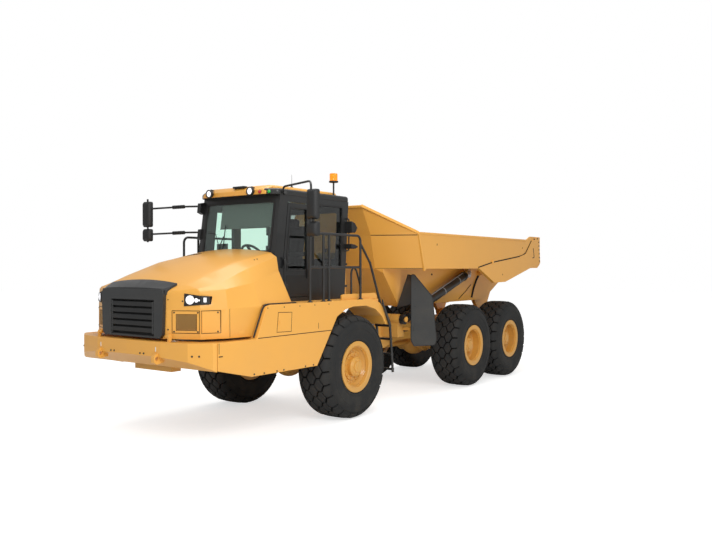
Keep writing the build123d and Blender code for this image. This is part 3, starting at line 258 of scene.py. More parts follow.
def splitNode(name):
    # The separate solids of a CAD node, each as its own mesh with its middle
    whole = bmesh.new()
    whole.from_mesh(frame["nodes"][name].data)
    bmesh.ops.remove_doubles(whole, verts=whole.verts, dist=0.00002)
    whole.verts.index_update()
    group = {}
    for seed in whole.verts:
        if seed.index in group:
            continue
        group[seed.index] = seed.index
        queue = [seed]
        while queue:
            v = queue.pop()
            for e in v.link_edges:
                w = e.other_vert(v)
                if w.index not in group:
                    group[w.index] = seed.index
                    queue.append(w)
    parts = []
    for key in sorted(set(group.values())):
        part = bmesh.new()
        copies = {v.index: part.verts.new(v.co) for v in whole.verts if group[v.index] == key}
        for f in whole.faces:
            if group[f.verts[0].index] == key:
                part.faces.new([copies[v.index] for v in f.verts])
        parts.append((sum((v.co for v in part.verts), Vector()) / len(part.verts), part))
    whole.free()
    return parts


def addBolt(bm, place, direction, size=0.012):
    # Washer and six-sided head
    addLathe(bm, [(-0.002, size * 1.25), (size * 0.25, size * 1.25)], place, direction, 16)
    addLathe(bm, [(size * 0.2, size), (size * 0.75, size), (size * 0.95, size * 0.8)], place, direction, 6)


def addBoltRing(bm, centre, out, u, v, radius, count, size, shift=0.0):
    for a in turns(count, shift):
        addBolt(bm, centre + (Vector(u) * math.cos(a) + Vector(v) * math.sin(a)) * radius, out, size)


def makeObject(bm, name, *finishNames):
    bmesh.ops.recalc_face_normals(bm, faces=bm.faces)
    mesh = bpy.data.meshes.new(name)
    bm.to_mesh(mesh)
    bm.free()
    mesh.shade_smooth()
    for finish in finishNames:
        mesh.materials.append(look[finish])
    piece = bpy.data.objects.new(name, mesh)
    bpy.context.scene.collection.objects.link(piece)
    return piece


def makePiece(bm, name, body, finish, bevel=0.0, smooth=35, replaces=(), origin=None):
    piece = makeObject(bm, name, *([finish] if isinstance(finish, str) else finish))
    piece.data.set_sharp_from_angle(angle=math.radians(smooth))
    if origin is not None:
        piece.data.transform(Matrix.Translation(-Vector(origin)))
        piece.location = origin
    if bevel:
        edge = piece.modifiers.new("rounded edges", "BEVEL")
        edge.width = bevel
        edge.segments = 2
        edge.limit_method = "ANGLE"
        edge.angle_limit = math.radians(28)
        edge.harden_normals = False
    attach(piece, body)
    if replaces:
        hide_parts(*replaces)
    return piece


# Shared shader groups

def addNode(tree, kind, inputs, **settings):
    # A shader node. An input that is given a socket is linked to it, any other gets the value
    node = tree.nodes.new("ShaderNode" + kind)
    for key, value in settings.items():
        setattr(node, key, value)
    for key, value in inputs.items():
        if isinstance(value, bpy.types.NodeSocket):
            tree.links.new(value, node.inputs[key])
        else:
            node.inputs[key].default_value = value
    return node


def newGroup(name, inputs, outputs):
    group = bpy.data.node_groups.new(name, "ShaderNodeTree")
    for label, kind, value in inputs:
        group.interface.new_socket(name=label, in_out="INPUT", socket_type=kind).default_value = value
    for label, kind in outputs:
        group.interface.new_socket(name=label, in_out="OUTPUT", socket_type=kind)
    return group, group.nodes.new("NodeGroupInput").outputs, group.nodes.new("NodeGroupOutput").inputs


def makeDustGroup():
    # Field dust and faint mottling: more of it low down, broken up by two sizes of noise
    group, given, made = newGroup("fieldDust", [
        ("Colour", "NodeSocketColor", (0.8, 0.8, 0.8, 1)), ("Dust Colour", "NodeSocketColor", (0.5, 0.42, 0.3, 1)),
        ("Amount", "NodeSocketFloat", 0.1), ("Mottle", "NodeSocketFloat", 0.05),
        ("Scale", "NodeSocketFloat", 3.0), ("Roughness", "NodeSocketFloat", 0.4),
    ], [("Colour", "NodeSocketColor"), ("Roughness", "NodeSocketFloat"), ("Mask", "NodeSocketFloat")])
    place = addNode(group, "TexCoord", {}).outputs["Object"]
    broad = addNode(group, "TexNoise", {"Vector": place, "Scale": given["Scale"], "Detail": 6}).outputs["Fac"]
    fine = addNode(group, "TexNoise", {"Vector": place, "Scale": 70, "Detail": 4}).outputs["Fac"]
    spot = addNode(group, "NewGeometry", {}).outputs["Position"]
    height = addNode(group, "SeparateXYZ", {0: spot}).outputs["Z"]
    lowDown = addNode(group, "MapRange", {  # 1 at the ground, 0.15 from 2.2 m up
        "Value": height, "From Min": 0.0, "From Max": 2.2, "To Min": 1.0, "To Max": 0.15}).outputs[0]
    patch = addNode(group, "MapRange", {"Value": broad, "From Min": 0.42, "From Max": 0.72}).outputs[0]
    speck = addNode(group, "MapRange", {
        "Value": fine, "From Min": 0.35, "From Max": 0.75, "To Min": 0.4}).outputs[0]
    both = addNode(group, "Math", {0: patch, 1: speck}, operation="MULTIPLY").outputs[0]
    low = addNode(group, "Math", {0: both, 1: lowDown}, operation="MULTIPLY").outputs[0]
    mask = addNode(group, "Math", {0: low, 1: given["Amount"]}, operation="MULTIPLY", use_clamp=True).outputs[0]
    darker = addNode(group, "Math", {0: 1.0, 1: given["Mottle"]}, operation="SUBTRACT").outputs[0]
    shade = addNode(group, "MapRange", {"Value": broad, "To Min": 1.0, "To Max": darker}).outputs[0]
    tone = addNode(group, "VectorMath", {0: given["Colour"], "Scale": shade}, operation="SCALE").outputs[0]
    mix = addNode(group, "Mix", {"Factor": mask, 6: tone, 7: given["Dust Colour"]}, data_type="RGBA").outputs[2]
    rough = addNode(group, "Math", {0: mask, 1: 0.35, 2: given["Roughness"]}, operation="MULTIPLY_ADD",
                    use_clamp=True).outputs[0]
    for label, socket in (("Colour", mix), ("Roughness", rough), ("Mask", mask)):
        group.links.new(socket, made[label])
    return group


def makeGrainGroup():
    # Height of a sprayed, cast or moulded skin
    group, given, made = newGroup("skinGrain", [
        ("Scale", "NodeSocketFloat", 200.0), ("Detail", "NodeSocketFloat", 3.0),
        ("Stretch", "NodeSocketFloat", 1.0),
    ], [("Height", "NodeSocketFloat")])
    place = addNode(group, "TexCoord", {}).outputs["Object"]
    noise = addNode(group, "TexNoise", {"Vector": place, "Scale": given["Scale"], "Detail": given["Detail"]})
    power = addNode(group, "Math", {0: noise.outputs["Fac"], 1: given["Stretch"]}, operation="POWER")
    group.links.new(power.outputs[0], made["Height"])
    return group


dustGroup = makeDustGroup()
grainGroup = makeGrainGroup()


def makeFinish(name, colour, roughness, metallic=0.0, coat=0.0, coatRoughness=0.1, dust=0.0,
               dustColour=(0.45, 0.38, 0.28), mottle=0.04, scale=2.5, grain=250.0, bump=0.05,
               bumpDistance=0.0005, specular=0.5):
    material = bpy.data.materials.new(name)
    material.use_nodes = True
    tree = material.node_tree
    dirt = addNode(tree, "Group", {
        "Colour": (*colour, 1), "Dust Colour": (*dustColour, 1), "Amount": dust, "Mottle": mottle, "Scale": scale,
        "Roughness": roughness}, node_tree=dustGroup)
    skin = addNode(tree, "Group", {"Scale": grain}, node_tree=grainGroup)
    rise = addNode(tree, "Bump", {"Strength": bump, "Distance": bumpDistance, "Height": skin.outputs["Height"]})
    shader = tree.nodes["Principled BSDF"].inputs
    for key, value in (("Metallic", metallic), ("Coat Weight", coat), ("Coat Roughness", coatRoughness),
                       ("Specular IOR Level", specular)):
        shader[key].default_value = value
    for key, socket in (("Base Color", dirt.outputs["Colour"]), ("Roughness", dirt.outputs["Roughness"]),
                        ("Normal", rise.outputs["Normal"])):
        tree.links.new(socket, shader[key])
    return material


def makeGlass(name, colour, roughness=0.0, transmission=1.0, ior=1.45, emission=0.0):
    material = makeFinish(name, colour, roughness, mottle=0.02, scale=1.0, bump=0.01, dust=0.05)
    shader = material.node_tree.nodes["Principled BSDF"]
    shader.inputs["Transmission Weight"].default_value = transmission
    shader.inputs["IOR"].default_value = ior
    if emission:
        shader.inputs["Emission Color"].default_value = (*colour, 1)
        shader.inputs["Emission Strength"].default_value = emission
    return material


finishes = {
    "yellow": dict(colour=(0.86, 0.42, 0.070), roughness=0.42, coat=0.2, coatRoughness=0.18, dust=0.10,
                   mottle=0.05, grain=420, bump=0.06),
    "rimYellow": dict(colour=(0.72, 0.36, 0.060), roughness=0.42, coat=0.2, dust=0.15, mottle=0.07, grain=420),
    "frameYellow": dict(colour=(0.76, 0.385, 0.07), roughness=0.48, coat=0.1, dust=0.35, mottle=0.12, grain=300),
    "blackPaint": dict(colour=(0.011, 0.0115, 0.012), roughness=0.40, coat=0.1, dust=0.25, mottle=0.2, grain=380),
    "cabBlack": dict(colour=(0.0145, 0.0155, 0.016), roughness=0.38, coat=0.15, dust=0.12, mottle=0.15,
                     grain=380),
    "grilleGrey": dict(colour=(0.022, 0.023, 0.024), roughness=0.38, coat=0.2, dust=0.1, mottle=0.12, grain=380),
    "blackPlastic": dict(colour=(0.011, 0.0115, 0.012), roughness=0.55, dust=0.1, mottle=0.15, grain=900,
                         bump=0.25),
    "greyPlastic": dict(colour=(0.075, 0.077, 0.08), roughness=0.6, mottle=0.1, grain=900, bump=0.25),
    "flapRubber": dict(colour=(0.042, 0.043, 0.042), roughness=0.62, dust=0.15, mottle=0.2, grain=160, bump=0.2),
    # Near-black rubber of the groove floors: painted shade in the grooves
    "grooveShadeRubber": dict(colour=(0.004, 0.004, 0.004), roughness=0.9, dust=0.04, mottle=0.1, scale=5, grain=120,
                         bump=0.2, specular=0.15),
    "hoseRubber": dict(colour=(0.012, 0.012, 0.0125), roughness=0.55, dust=0.1, mottle=0.1, grain=500, bump=0.2),
    "castGrey": dict(colour=(0.28, 0.29, 0.30), roughness=0.6, dust=0.4, mottle=0.15, grain=90, bump=0.4,
                     bumpDistance=0.001),
    "zinc": dict(colour=(0.62, 0.62, 0.60), roughness=0.34, metallic=1.0, mottle=0.1, dust=0.1),
    "chrome": dict(colour=(0.78, 0.79, 0.80), roughness=0.14, metallic=1.0, mottle=0.03, dust=0.05),
    "reflector": dict(colour=(0.9, 0.91, 0.93), roughness=0.08, metallic=1.0, mottle=0.02),
    # Near-black for seams, slits and holes, and for painted shade: plates behind openings, shadow lines and a grip's
    # recess
    "darkSlotAndShade": dict(colour=(0.006, 0.006, 0.006), roughness=0.8, mottle=0.1),
    "paleTrim": dict(colour=(0.82, 0.82, 0.78), roughness=0.5, mottle=0.05),
    "seatCloth": dict(colour=(0.035, 0.036, 0.038), roughness=0.9, mottle=0.25, scale=14, grain=1400, bump=0.5,
                      bumpDistance=0.001, specular=0.2),
    "redLens": dict(colour=(0.55, 0.015, 0.012), roughness=0.12, coat=0.6, grain=900, bump=0.1),
    "greenLens": dict(colour=(0.03, 0.42, 0.07), roughness=0.12, coat=0.6, grain=900, bump=0.1),
    "meshBrown": dict(colour=(0.50, 0.27, 0.07), roughness=0.5, mottle=0.1, grain=420),
    "blindGrey": dict(colour=(0.11, 0.115, 0.11), roughness=0.8, mottle=0.08, grain=1200, bump=0.3),
    "gaugeFace": dict(colour=(0.02, 0.035, 0.05), roughness=0.12, coat=0.8, mottle=0.05),
    "mirrorGlass": dict(colour=(0.72, 0.75, 0.77), roughness=0.03, metallic=1.0, mottle=0.02),
}
look = {name: makeFinish(name, **values) for name, values in finishes.items()}
look["windscreen"] = makeGlass("windscreenGlass", (0.80, 0.985, 0.90))
# Grey glass for the left side only: painted shade of the dark cab inside seen through it
look["sideGlass"] = makeGlass("sideWindowShadeGlass", (0.36, 0.38, 0.375))
look["lampGlass"] = makeGlass("lampGlass", (0.95, 0.96, 0.98), ior=1.4)
look["lampLens"] = makeGlass("lampLens", (0.97, 0.97, 1.0), roughness=0.08, transmission=0.15, emission=0.42)
look["amber"] = makeGlass("amberLens", (1.0, 0.36, 0.02), roughness=0.12, transmission=0.55, emission=0.25)


def makeTyreRubber():
    # Darker towards the axle, down in the grooves and on the sidewall, paler on the faces of the blocks where they
    # wear; the dark in the grooves is painted shade
    material = makeFinish("tyreRubber", (0.03, 0.031, 0.033), 0.72, dust=0.07, mottle=0.12, scale=5, grain=120,
                          bump=0.35, bumpDistance=0.0012, specular=0.35)
    tree = material.node_tree
    place = addNode(tree, "TexCoord", {}).outputs["Object"]
    # Only X and Z are left, so the length is the distance from the axle
    flat = addNode(tree, "VectorMath", {0: place, 1: (1, 0, 1)}, operation="MULTIPLY").outputs[0]
    length = addNode(tree, "VectorMath", {0: flat}, operation="LENGTH").outputs["Value"]
    # Paler block faces from wear, darker deeper down as painted shade in the grooves
    wearAndDepthShade = addNode(tree, "MapRange", {"Value": length, "From Min": 0.735, "From Max": 0.80}).outputs[0]
    mix = addNode(tree, "Mix", {"Factor": wearAndDepthShade, 6: (0.017, 0.0175, 0.0175, 1), 7: (0.030, 0.030, 0.030, 1)},
                  data_type="RGBA")
    dirt = next(n for n in tree.nodes if n.type == "GROUP" and n.node_tree == dustGroup)
    tree.links.new(mix.outputs[2], dirt.inputs["Colour"])
    return material


look["tyre"] = makeTyreRubber()
print("finishes made")


# Tyres: carcass turned from its section, with blocks raised on a zigzag grid

tyre = {
    "pitches": 24, "groove": 0.012, "zigzag": 0.026, "rows": (0.062, 0.180), "shoulderEnd": 0.352,
    "depth": 0.027, "slant": 0.16, "beadHalf": 0.262, "beadRadius": 0.3185,
    # Outer skin from the crown to the sidewall, then the wall down to the bead. Columns: across, radius
    "crown": [(0, 0.800), (0.10, 0.7985), (0.20, 0.792), (0.245, 0.774), (0.276, 0.745), (0.295, 0.712),
              (0.304, 0.678)],
    "wall": [(0.3035, 0.655), (0.306, 0.648), (0.3055, 0.60), (0.3085, 0.596), (0.3085, 0.588), (0.305, 0.584),
             (0.3035, 0.54), (0.298, 0.49), (0.290, 0.452), (0.294, 0.445), (0.294, 0.428), (0.283, 0.415),
             (0.268, 0.398)],
    "grooveFloor": 0.70,  # radius outside which the carcass is groove floor
}
crownLength = [0.0]
for (y0, r0), (y1, r1) in zip(tyre["crown"], tyre["crown"][1:]):
    crownLength.append(crownLength[-1] + math.hypot(y1 - y0, r1 - r0))


def crownPoint(t, depth):
    # Distance across and radius at arc length t from the middle, sunk by depth
    side = -1 if t < 0 else 1
    t = min(abs(t), crownLength[-1])
    k = max(i for i in range(len(crownLength) - 1) if crownLength[i] <= t)
    f = (t - crownLength[k]) / (crownLength[k + 1] - crownLength[k])
    (y0, r0), (y1, r1) = tyre["crown"][k], tyre["crown"][k + 1]
    normal = Vector((r0 - r1, y1 - y0)).normalized()
    return side * (y0 + (y1 - y0) * f - normal.x * depth), r0 + (r1 - r0) * f - normal.y * depth


def zigzag(angle, pitch, middle, swing):
    return middle - swing * (1 - 4 * abs((angle / pitch) % 1.0 - 0.5))


def addTyreBlock(bm, start, pitch, low, high, rows, slant):
    # One block: low and high give the arc length of its two long edges at an angle
    gap = tyre["groove"]
    turnGap = gap / 0.8  # as an angle at the crown's radius
    lastRow, lastCol = rows - 1, 4

    def spot(i, j, grow, depth):
        angle = start + pitch * j / lastCol
        a, b = low(angle) + gap, high(angle) - gap
        t = a + (b - a) * i / lastRow + {0: -grow, lastRow: grow}.get(i, 0)
        turn = start + turnGap + (pitch - 2 * turnGap) * j / lastCol + slant * (t - (a + b) / 2)
        turn += {0: -grow, lastCol: grow}.get(j, 0) / 0.8
        y, r = crownPoint(t, depth)
        return Vector((math.cos(turn) * r, y, math.sin(turn) * r))

    top = [addLoop(bm, [spot(i, j, -0.004, 0.0) for j in range(lastCol + 1)]) for i in range(rows)]
    for i in range(lastRow):
        for j in range(lastCol):
            bm.faces.new((top[i][j], top[i][j + 1], top[i + 1][j + 1], top[i + 1][j]))
    edge = ([(0, j) for j in range(lastCol)] + [(i, lastCol) for i in range(lastRow)]
            + [(lastRow, j) for j in range(lastCol, 0, -1)] + [(i, 0) for i in range(lastRow, 0, -1)])
    skinRings(bm, [[top[i][j] for i, j in edge], addLoop(bm, [spot(i, j, 0.0, 0.005) for i, j in edge]),
                   addLoop(bm, [spot(i, j, 0.004, tyre["depth"] + 0.003) for i, j in edge])], cap=False)


def buildTyres():
    pitch = 2 * math.pi / tyre["pitches"]
    (inner, outer), swing, end, slant = (tyre[key] for key in ("rows", "zigzag", "shoulderEnd", "slant"))
    lines = [
        lambda a: 0.01 - end, lambda a: zigzag(a, pitch, -outer, -swing), lambda a: zigzag(a, pitch, -inner, swing),
        lambda a: zigzag(a, pitch, inner, -swing), lambda a: zigzag(a, pitch, outer, swing), lambda a: end - 0.01,
    ]
    # Columns of blocks: rows across a block, slant of its cross grooves, share of a pitch it is turned by
    columns = [(6, -slant, 0.0), (4, 0.0, 0.5), (4, 0.0, 0.0), (4, 0.0, 0.5), (6, slant, 0.0)]
    # Groove floor: sunk by the depth, and rising to the sidewall over the last three of 15 points
    floor = [crownPoint(end * i / 14, tyre["depth"] * min(1, (15 - i) / 4)) for i in range(15)]
    bead = [(tyre["beadHalf"], 0.396), (tyre["beadHalf"], tyre["beadRadius"])]
    half = floor + tyre["wall"] + bead
    for label, middle in wheels.items():
        bm = bmesh.new()
        for k in range(tyre["pitches"]):
            for (rows, lean, offset), low, high in zip(columns, lines, lines[1:]):
                addTyreBlock(bm, (k + offset) * pitch, pitch, low, high, rows, lean)
        blocks = set(bm.faces)
        addLathe(bm, [(-y, r) for y, r in reversed(half[1:])] + half, (0, 0, 0), (0, 1, 0), 96, cap=False)
        # Groove floors take the near-black rubber, painted shade in the grooves
        for face in bm.faces:
            centre = face.calc_center_median()
            if face not in blocks and math.hypot(centre.x, centre.z) > tyre["grooveFloor"]:
                face.material_index = 1
        bmesh.ops.translate(bm, verts=bm.verts, vec=Vector(middle))
        makePiece(bm, "tyreTread_" + label, "wheel_" + label, ["tyre", "grooveShadeRubber"], smooth=32,
                  replaces=["tyre_" + label], origin=middle)
    print("tyres made")


# Rims: the turned rims stay, with nuts, a hub cap and a lock ring on them

wheelTrim = {
    # Distances out from the wheel's middle: face of the inner nuts, face of the outer nuts, hub cap
    "front": (0.195, 0.175, 0.285), "middle": (0.085, 0.065, 0.190), "rear": (0.085, 0.065, 0.190),
    "nuts": [(12, 0.182, 0.015), (20, 0.238, 0.013)],  # number, radius of the ring, size
    "rings": [(0.264, 0.345), (0.230, 0.306)],  # lock ring and the ridge on the drop: distance out, radius
    "cap": [(-0.002, 0.085), (0.008, 0.085), (0.014, 0.078), (0.014, 0.03), (0.02, 0.026), (0.02, 0.001)],
    "ridge": [(0, -0.012), (0.012, -0.009), (0.014, 0), (0.012, 0.009), (0, 0.012)],
}


def buildWheelTrim():
    for label, middle in wheels.items():
        row, sideName = label.split("_")
        *faces, cap = wheelTrim[row]
        centre, out = Vector(middle), Vector((0, 1 if sideName == "left" else -1, 0))
        bm = bmesh.new()
        for face, (count, ring, size) in zip(faces, wheelTrim["nuts"]):
            addBoltRing(bm, centre + out * face, out, (1, 0, 0), (0, 0, 1), ring, count, size, 0.5)
        addLathe(bm, [(cap + along, radius) for along, radius in wheelTrim["cap"]], centre, out, 24)
        addBoltRing(bm, centre + out * (cap + 0.001), out, (1, 0, 0), (0, 0, 1), 0.103, 6, 0.009)
        for reach, ring in wheelTrim["rings"]:
            addLathe(bm, [(reach + along, ring + grow) for along, grow in wheelTrim["ridge"]], centre, out, 64,
                     cap=False)
        makePiece(bm, "wheelNuts_" + label, "wheel_" + label, "rimYellow", smooth=40)
    print("wheel trim made")


# CAD nodes that stay in view and only take a finish

nodeLooks = {
    "yellow": ["bed", "rear_tank", "deck", "fenders", "bumper", "roof_cap", "hood"],
    "frameYellow": ["front_chassis", "front_axle", "rear_axles", "rear_chassis", "roll_housing", "hoist_feet",
                    "walking_beams", "hitch"],
    "cabBlack": ["cab_shell", "door", "roof"],
    "blackPaint": ["hoist_barrel_left", "hoist_barrel_right", "steering_barrel_left", "steering_barrel_right",
                   "handrails", "ladder", "mirrors"],
    "grilleGrey": ["grille"],
    "chrome": ["hoist_rod_left", "hoist_rod_right", "steering_rod_left", "steering_rod_right"],
    "flapRubber": ["wheel_flaps"],
    "castGrey": ["engine", "radiator"],
    "seatCloth": ["seat"],
    "greyPlastic": ["console"],
    "redLens": ["tail_lamps"],
    "amber": ["beacon"],
    # Grey glass of the left door: painted shade of the dark cab inside
    "sideGlass": ["cab_glass", "door_glass"],
    "lampGlass": ["headlamps", "roof_lamps"],
    "rimYellow": ["rim_" + label for label in wheels],
    "tyre": ["tyre_" + label for label in wheels],
}
# Width of the rounded edges of CAD nodes that stay in view, in metres
nodeEdges = {
    "hood": 0.022, "grille": 0.008, "bumper": 0.014, "fenders": 0.006, "deck": 0.004, "rear_tank": 0.02,
    "roof": 0.012, "roof_cap": 0.014, "cab_shell": 0.008, "door": 0.006, "bed": 0.006, "front_chassis": 0.004,
    "rear_chassis": 0.004, "roll_housing": 0.006, "hoist_feet": 0.004, "hitch": 0.006, "walking_beams": 0.008,
    "rear_axles": 0.006, "front_axle": 0.006, "wheel_flaps": 0.003, "ladder": 0.003, "mirrors": 0.006,
    "engine": 0.012, "radiator": 0.006, "tail_lamps": 0.006,
}


def roundNodes():
    # Flat faces joined first, so that only real edges are rounded
    for name, width in nodeEdges.items():
        node = frame["nodes"][name]
        weld = node.modifiers.new("join corners", "WELD")
        weld.merge_threshold = 0.00005
        flat = node.modifiers.new("join flat faces", "DECIMATE")
        flat.decimate_type = "DISSOLVE"
        flat.angle_limit = math.radians(0.8)
        edge = node.modifiers.new("rounded edges", "BEVEL")
        edge.width = width
        edge.segments = 2
        edge.limit_method = "ANGLE"
        edge.angle_limit = math.radians(14 if name == "hood" else 24)
        edge.use_clamp_overlap = True
    print("CAD edges rounded")


def dressNodes():
    for finish, names in nodeLooks.items():
        for name in names:
            mesh = frame["nodes"][name].data
            mesh.materials.clear()
            mesh.materials.append(look[finish])
    print("CAD nodes dressed")


# Nose: vent panels, louvres, seams, near-black plates of painted shade behind the openings, and bolts that tilt with
# the hood

nose = {
    # The two upright faces of each corner, from and to: metres ahead, out from the middle
    "faceA": ((3.08, 0.63), (2.883, 1.045)), "faceB": ((2.883, 1.045), (2.57, 1.21)),
    "lean": 0.05, "leanFrom": 1.8, "ventLow": 1.506, "ventHigh": 1.779, "meshPitch": 0.0105, "meshBar": 0.0034,
    "slatFirst": 1.50, "slatPitch": 0.084, "creaseX": 2.54, "boltSize": 0.0085,
    "slat": [(3.0835, 0.056), (3.112, 0.052), (3.1215, 0.043), (3.1225, -0.004), (3.1185, -0.010),
             (3.0835, 0.022)],
    "end": [(3.085, 0.402), (3.1235, 0.402), (3.1235, 0.418), (3.112, 0.428), (3.085, 0.4245)],
    "grip": [(1.62, -0.30), (1.62, -0.52), (1.70, -0.545), (1.70, -0.275)],
}


def noseFrame(side, face):
    (x0, y0), (x1, y1) = nose[face]
    along = Vector((x1 - x0, side * (y1 - y0), 0)).normalized()
    return at(x0, side * y0, 0), along, Vector((y1 - y0, side * (x0 - x1), 0)).normalized()


def noseSpot(side, y, z, out=0.0):
    # Point on the corner faces of the nose at a distance from the middle and a height
    face = "faceA" if y <= nose["faceA"][1][1] else "faceB"
    start, along, normal = noseFrame(side, face)
    reach = (y - nose[face][0][1]) / abs(along.y)
    lean = nose["lean"] * max(0.0, z - nose["leanFrom"])
    return start + along * reach + normal * (out - lean) + Vector((0, 0, z))


def noseOutline(side, face, y0, y1, z0, z1):
    # Corners of a rectangle on one of the two faces
    start, along, _ = noseFrame(side, face)
    a, b = ((y - nose[face][0][1]) / abs(along.y) for y in (y0, y1))
    return [start + along * s + Vector((0, 0, z)) for s, z in rect(a, b, z0, z1)]


def addVents(plates, mesh, dark, side):
    # Pressed frame round a woven mesh on one face, plain plate on the other, each in its seam
    low, high = nose["ventLow"], nose["ventHigh"]
    normal = noseFrame(side, "faceA")[2]
    hole = noseOutline(side, "faceA", 0.745, 1.000, low + 0.026, high - 0.036)
    # Near-black plate behind the woven mesh: painted shade of the inside of the nose
    addSlab(dark, hole, normal, -0.0115, -0.0075)
    for face, plate, seam, opening in (("faceA", (0.706, 1.026), (0.699, 1.032), hole),
                                       ("faceB", (1.055, 1.160), (1.049, 1.1665), None)):
        out = noseFrame(side, face)[2]
        addSlab(plates, noseOutline(side, face, *plate, low, high), out, -0.0095, 0.001, opening)
        addRibbon(dark, noseOutline(side, face, *seam, low - 0.006, high + 0.006), out, 0.005, -0.009, 0.0006,
                  closed=True)
    across, tall = hole[1] - hole[0], hole[2] - hole[1]
    for run, step, depths in ((tall, across, (-0.0068, -0.0036)), (across, tall, (-0.0052, -0.0022))):
        unit = step.normalized()
        for k in range(1, int(step.length / nose["meshPitch"])):
            p, half = hole[0] + unit * (k * nose["meshPitch"]), unit * (nose["meshBar"] / 2)
            addSlab(mesh, [p - half, p + half, p + half + run, p - half + run], normal, *depths)


def buildNose():
    low, high = nose["ventLow"] + 0.014, nose["ventHigh"] - 0.018
    plates, mesh, dark, bolts, louvres, ends, back = newMeshes(7)
    for side in (1, -1):
        addVents(plates, mesh, dark, side)
        for y, z in (*((y, z) for y in (0.7255, 1.013, 1.148) for z in (low, high)),
                     (0.652, 1.923), (0.652, 1.545), (0.826, 1.905)):
            normal = noseFrame(side, "faceA" if y < nose["faceA"][1][1] else "faceB")[2]
            addBolt(bolts, noseSpot(side, y, z, 0.001), normal, nose["boltSize"])
        # Seam at the crease, bolts on the crown and a pressed strip over the belt line
        route = [sideSkin("hood", nose["creaseX"], z, side)[0] for z in (1.436, 1.62, 1.80)]
        addRibbon(dark, route, (0, side, 0), 0.005)
        for x in (1.72, 1.665):
            addBolt(bolts, *onSkin("hood", at(x, side * 0.86, 3.0), (0, 0, -1)), 0.008)
        strip = [sideSkin("hood", x, z, side)[0] for x, z in rect(2.40, 2.31, 1.47, 1.51)]
        addSlab(plates, strip, (0, side, 0), -0.001, 0.0012)
        addPrism(ends, [(x, side * y) for x, y in nose["end"]], 1.474, 1.890, "z")
    makePiece(plates, "ventPlates", "hood", "yellow", bevel=0.003)
    makePiece(mesh, "ventMesh", "hood", "meshBrown", smooth=20)
    makePiece(dark, "noseSeamsAndShade", "hood", "darkSlotAndShade", smooth=20)
    makePiece(bolts, "noseBolts", "hood", "blackPaint", smooth=30)
    # Grip in the crown on the right: a near-black plate on the skin, painted shade of its recess
    grip = bmesh.new()
    hits = [onSkin("hood", at(x, y, 3.2), (0, 0, -1)) for x, y in nose["grip"]]
    spots, face = [hit[0] for hit in hits], hits[-1][1]
    addSlab(grip, spots, face, -0.001, 0.0045)
    addSlab(grip, [p.lerp(sum(spots, Vector()) / 4, 0.22) for p in spots], face, 0.004, 0.0065)
    makePiece(grip, "hoodGrip", "hood", "darkSlotAndShade", bevel=0.002)
    # Broad louvres over a dark mesh on a near-black plate, with plain strips at both ends; the plate is painted shade
    # that closes the nose behind the grille
    for k in range(5):
        z = nose["slatFirst"] + nose["slatPitch"] * k
        addPrism(louvres, [(x, z + rise) for x, rise in nose["slat"]], -0.402, 0.402, "y")
    # Near-black plate across the opening: painted shade inside the nose
    addPrism(back, rect(3.0842, 3.0862, 1.474, 1.890), -0.4, 0.4, "y")
    for k in range(1, 40):
        y = -0.4 + 0.02 * k
        addPrism(back, rect(3.086, 3.0885, y - 0.002, y + 0.002), 1.476, 1.888, "z")
    makePiece(louvres, "grilleLouvres", "hood", "blackPlastic", bevel=0.004, smooth=40)
    makePiece(ends, "grilleEnds", "hood", "grilleGrey", bevel=0.003)
    makePiece(back, "grilleMeshAndShadePlate", "hood", "darkSlotAndShade")
    print("nose made")


# Headlamps: black fascia round the corner of the nose with three round lamps and a light bar

lampSet = {
    "outline": [(0.846, 1.842, 2.002), (1.04, 1.859, 1.973), (1.099, 1.865, 1.964)],  # distance, low, high
    "rounds": [(0.920, 1.922, 0.057), (0.995, 1.918, 0.027), (1.030, 1.917, 0.012)],
    "bar": (1.062, 1.079, 1.892, 1.950), "proud": 0.010,
    # Profiles of a round lamp: distance out, share of its radius
    "rim": [(-0.004, 1.14), (0.005, 1.14), (0.009, 1.07), (0.006, 0.98)],
    "bowl": [(0.0005, 0.98), (0.002, 0.96), (0.001, 0.4), (0.0025, 0.2), (0.0025, 0)],
    "lens": [(0.003, 1), (0.0055, 1), (0.008, 0.86), (0.0095, 0.5), (0.010, 0)],
}


def buildLamps():
    fascia, lenses, bowls = newMeshes(3)
    rows, proud = lampSet["outline"], lampSet["proud"]
    for side in (1, -1):
        normal, normalB = (noseFrame(side, face)[2] for face in ("faceA", "faceB"))
        for (y0, low0, high0), (y1, low1, high1) in zip(rows, rows[1:]):
            points = [noseSpot(side, y, z) for y, z in ((y0, low0), (y1, low1), (y1, high1), (y0, high0))]
            addSlab(fascia, points, normal if y1 <= nose["faceA"][1][1] else normalB, -0.05, proud)
        for y, z, radius in lampSet["rounds"]:
            spot = noseSpot(side, y, z, proud)
            for target, part, cap in ((fascia, "rim", False), (bowls, "bowl", True), (lenses, "lens", True)):
                addLathe(target, [(along, radius * share or 0.001) for along, share in lampSet[part]], spot, normal,
                         32, cap)
        addSlab(lenses, [noseSpot(side, y, z, proud) for y, z in rect(*lampSet["bar"])], normalB, -0.002, 0.004)
    makePiece(fascia, "lampFascias", "hood", "blackPlastic", bevel=0.004, replaces=["headlamps"])
    makePiece(bowls, "lampBowls", "hood", "reflector")
    makePiece(lenses, "lampLenses", "hood", "lampLens", smooth=40)
    print("headlamps made")


# Bumper: slots, bolts, hinge plates and the seam to the fender

bumperSet = {
    "slotY": 0.561, "slotHalf": 0.0065, "slotZ": (1.272, 1.330), "boltPairs": (0.30, 1.14), "boltZ": 1.235,
    "plateY": (0.672, 0.80), "plateZ": 1.401, "plateRise": 0.010,
}


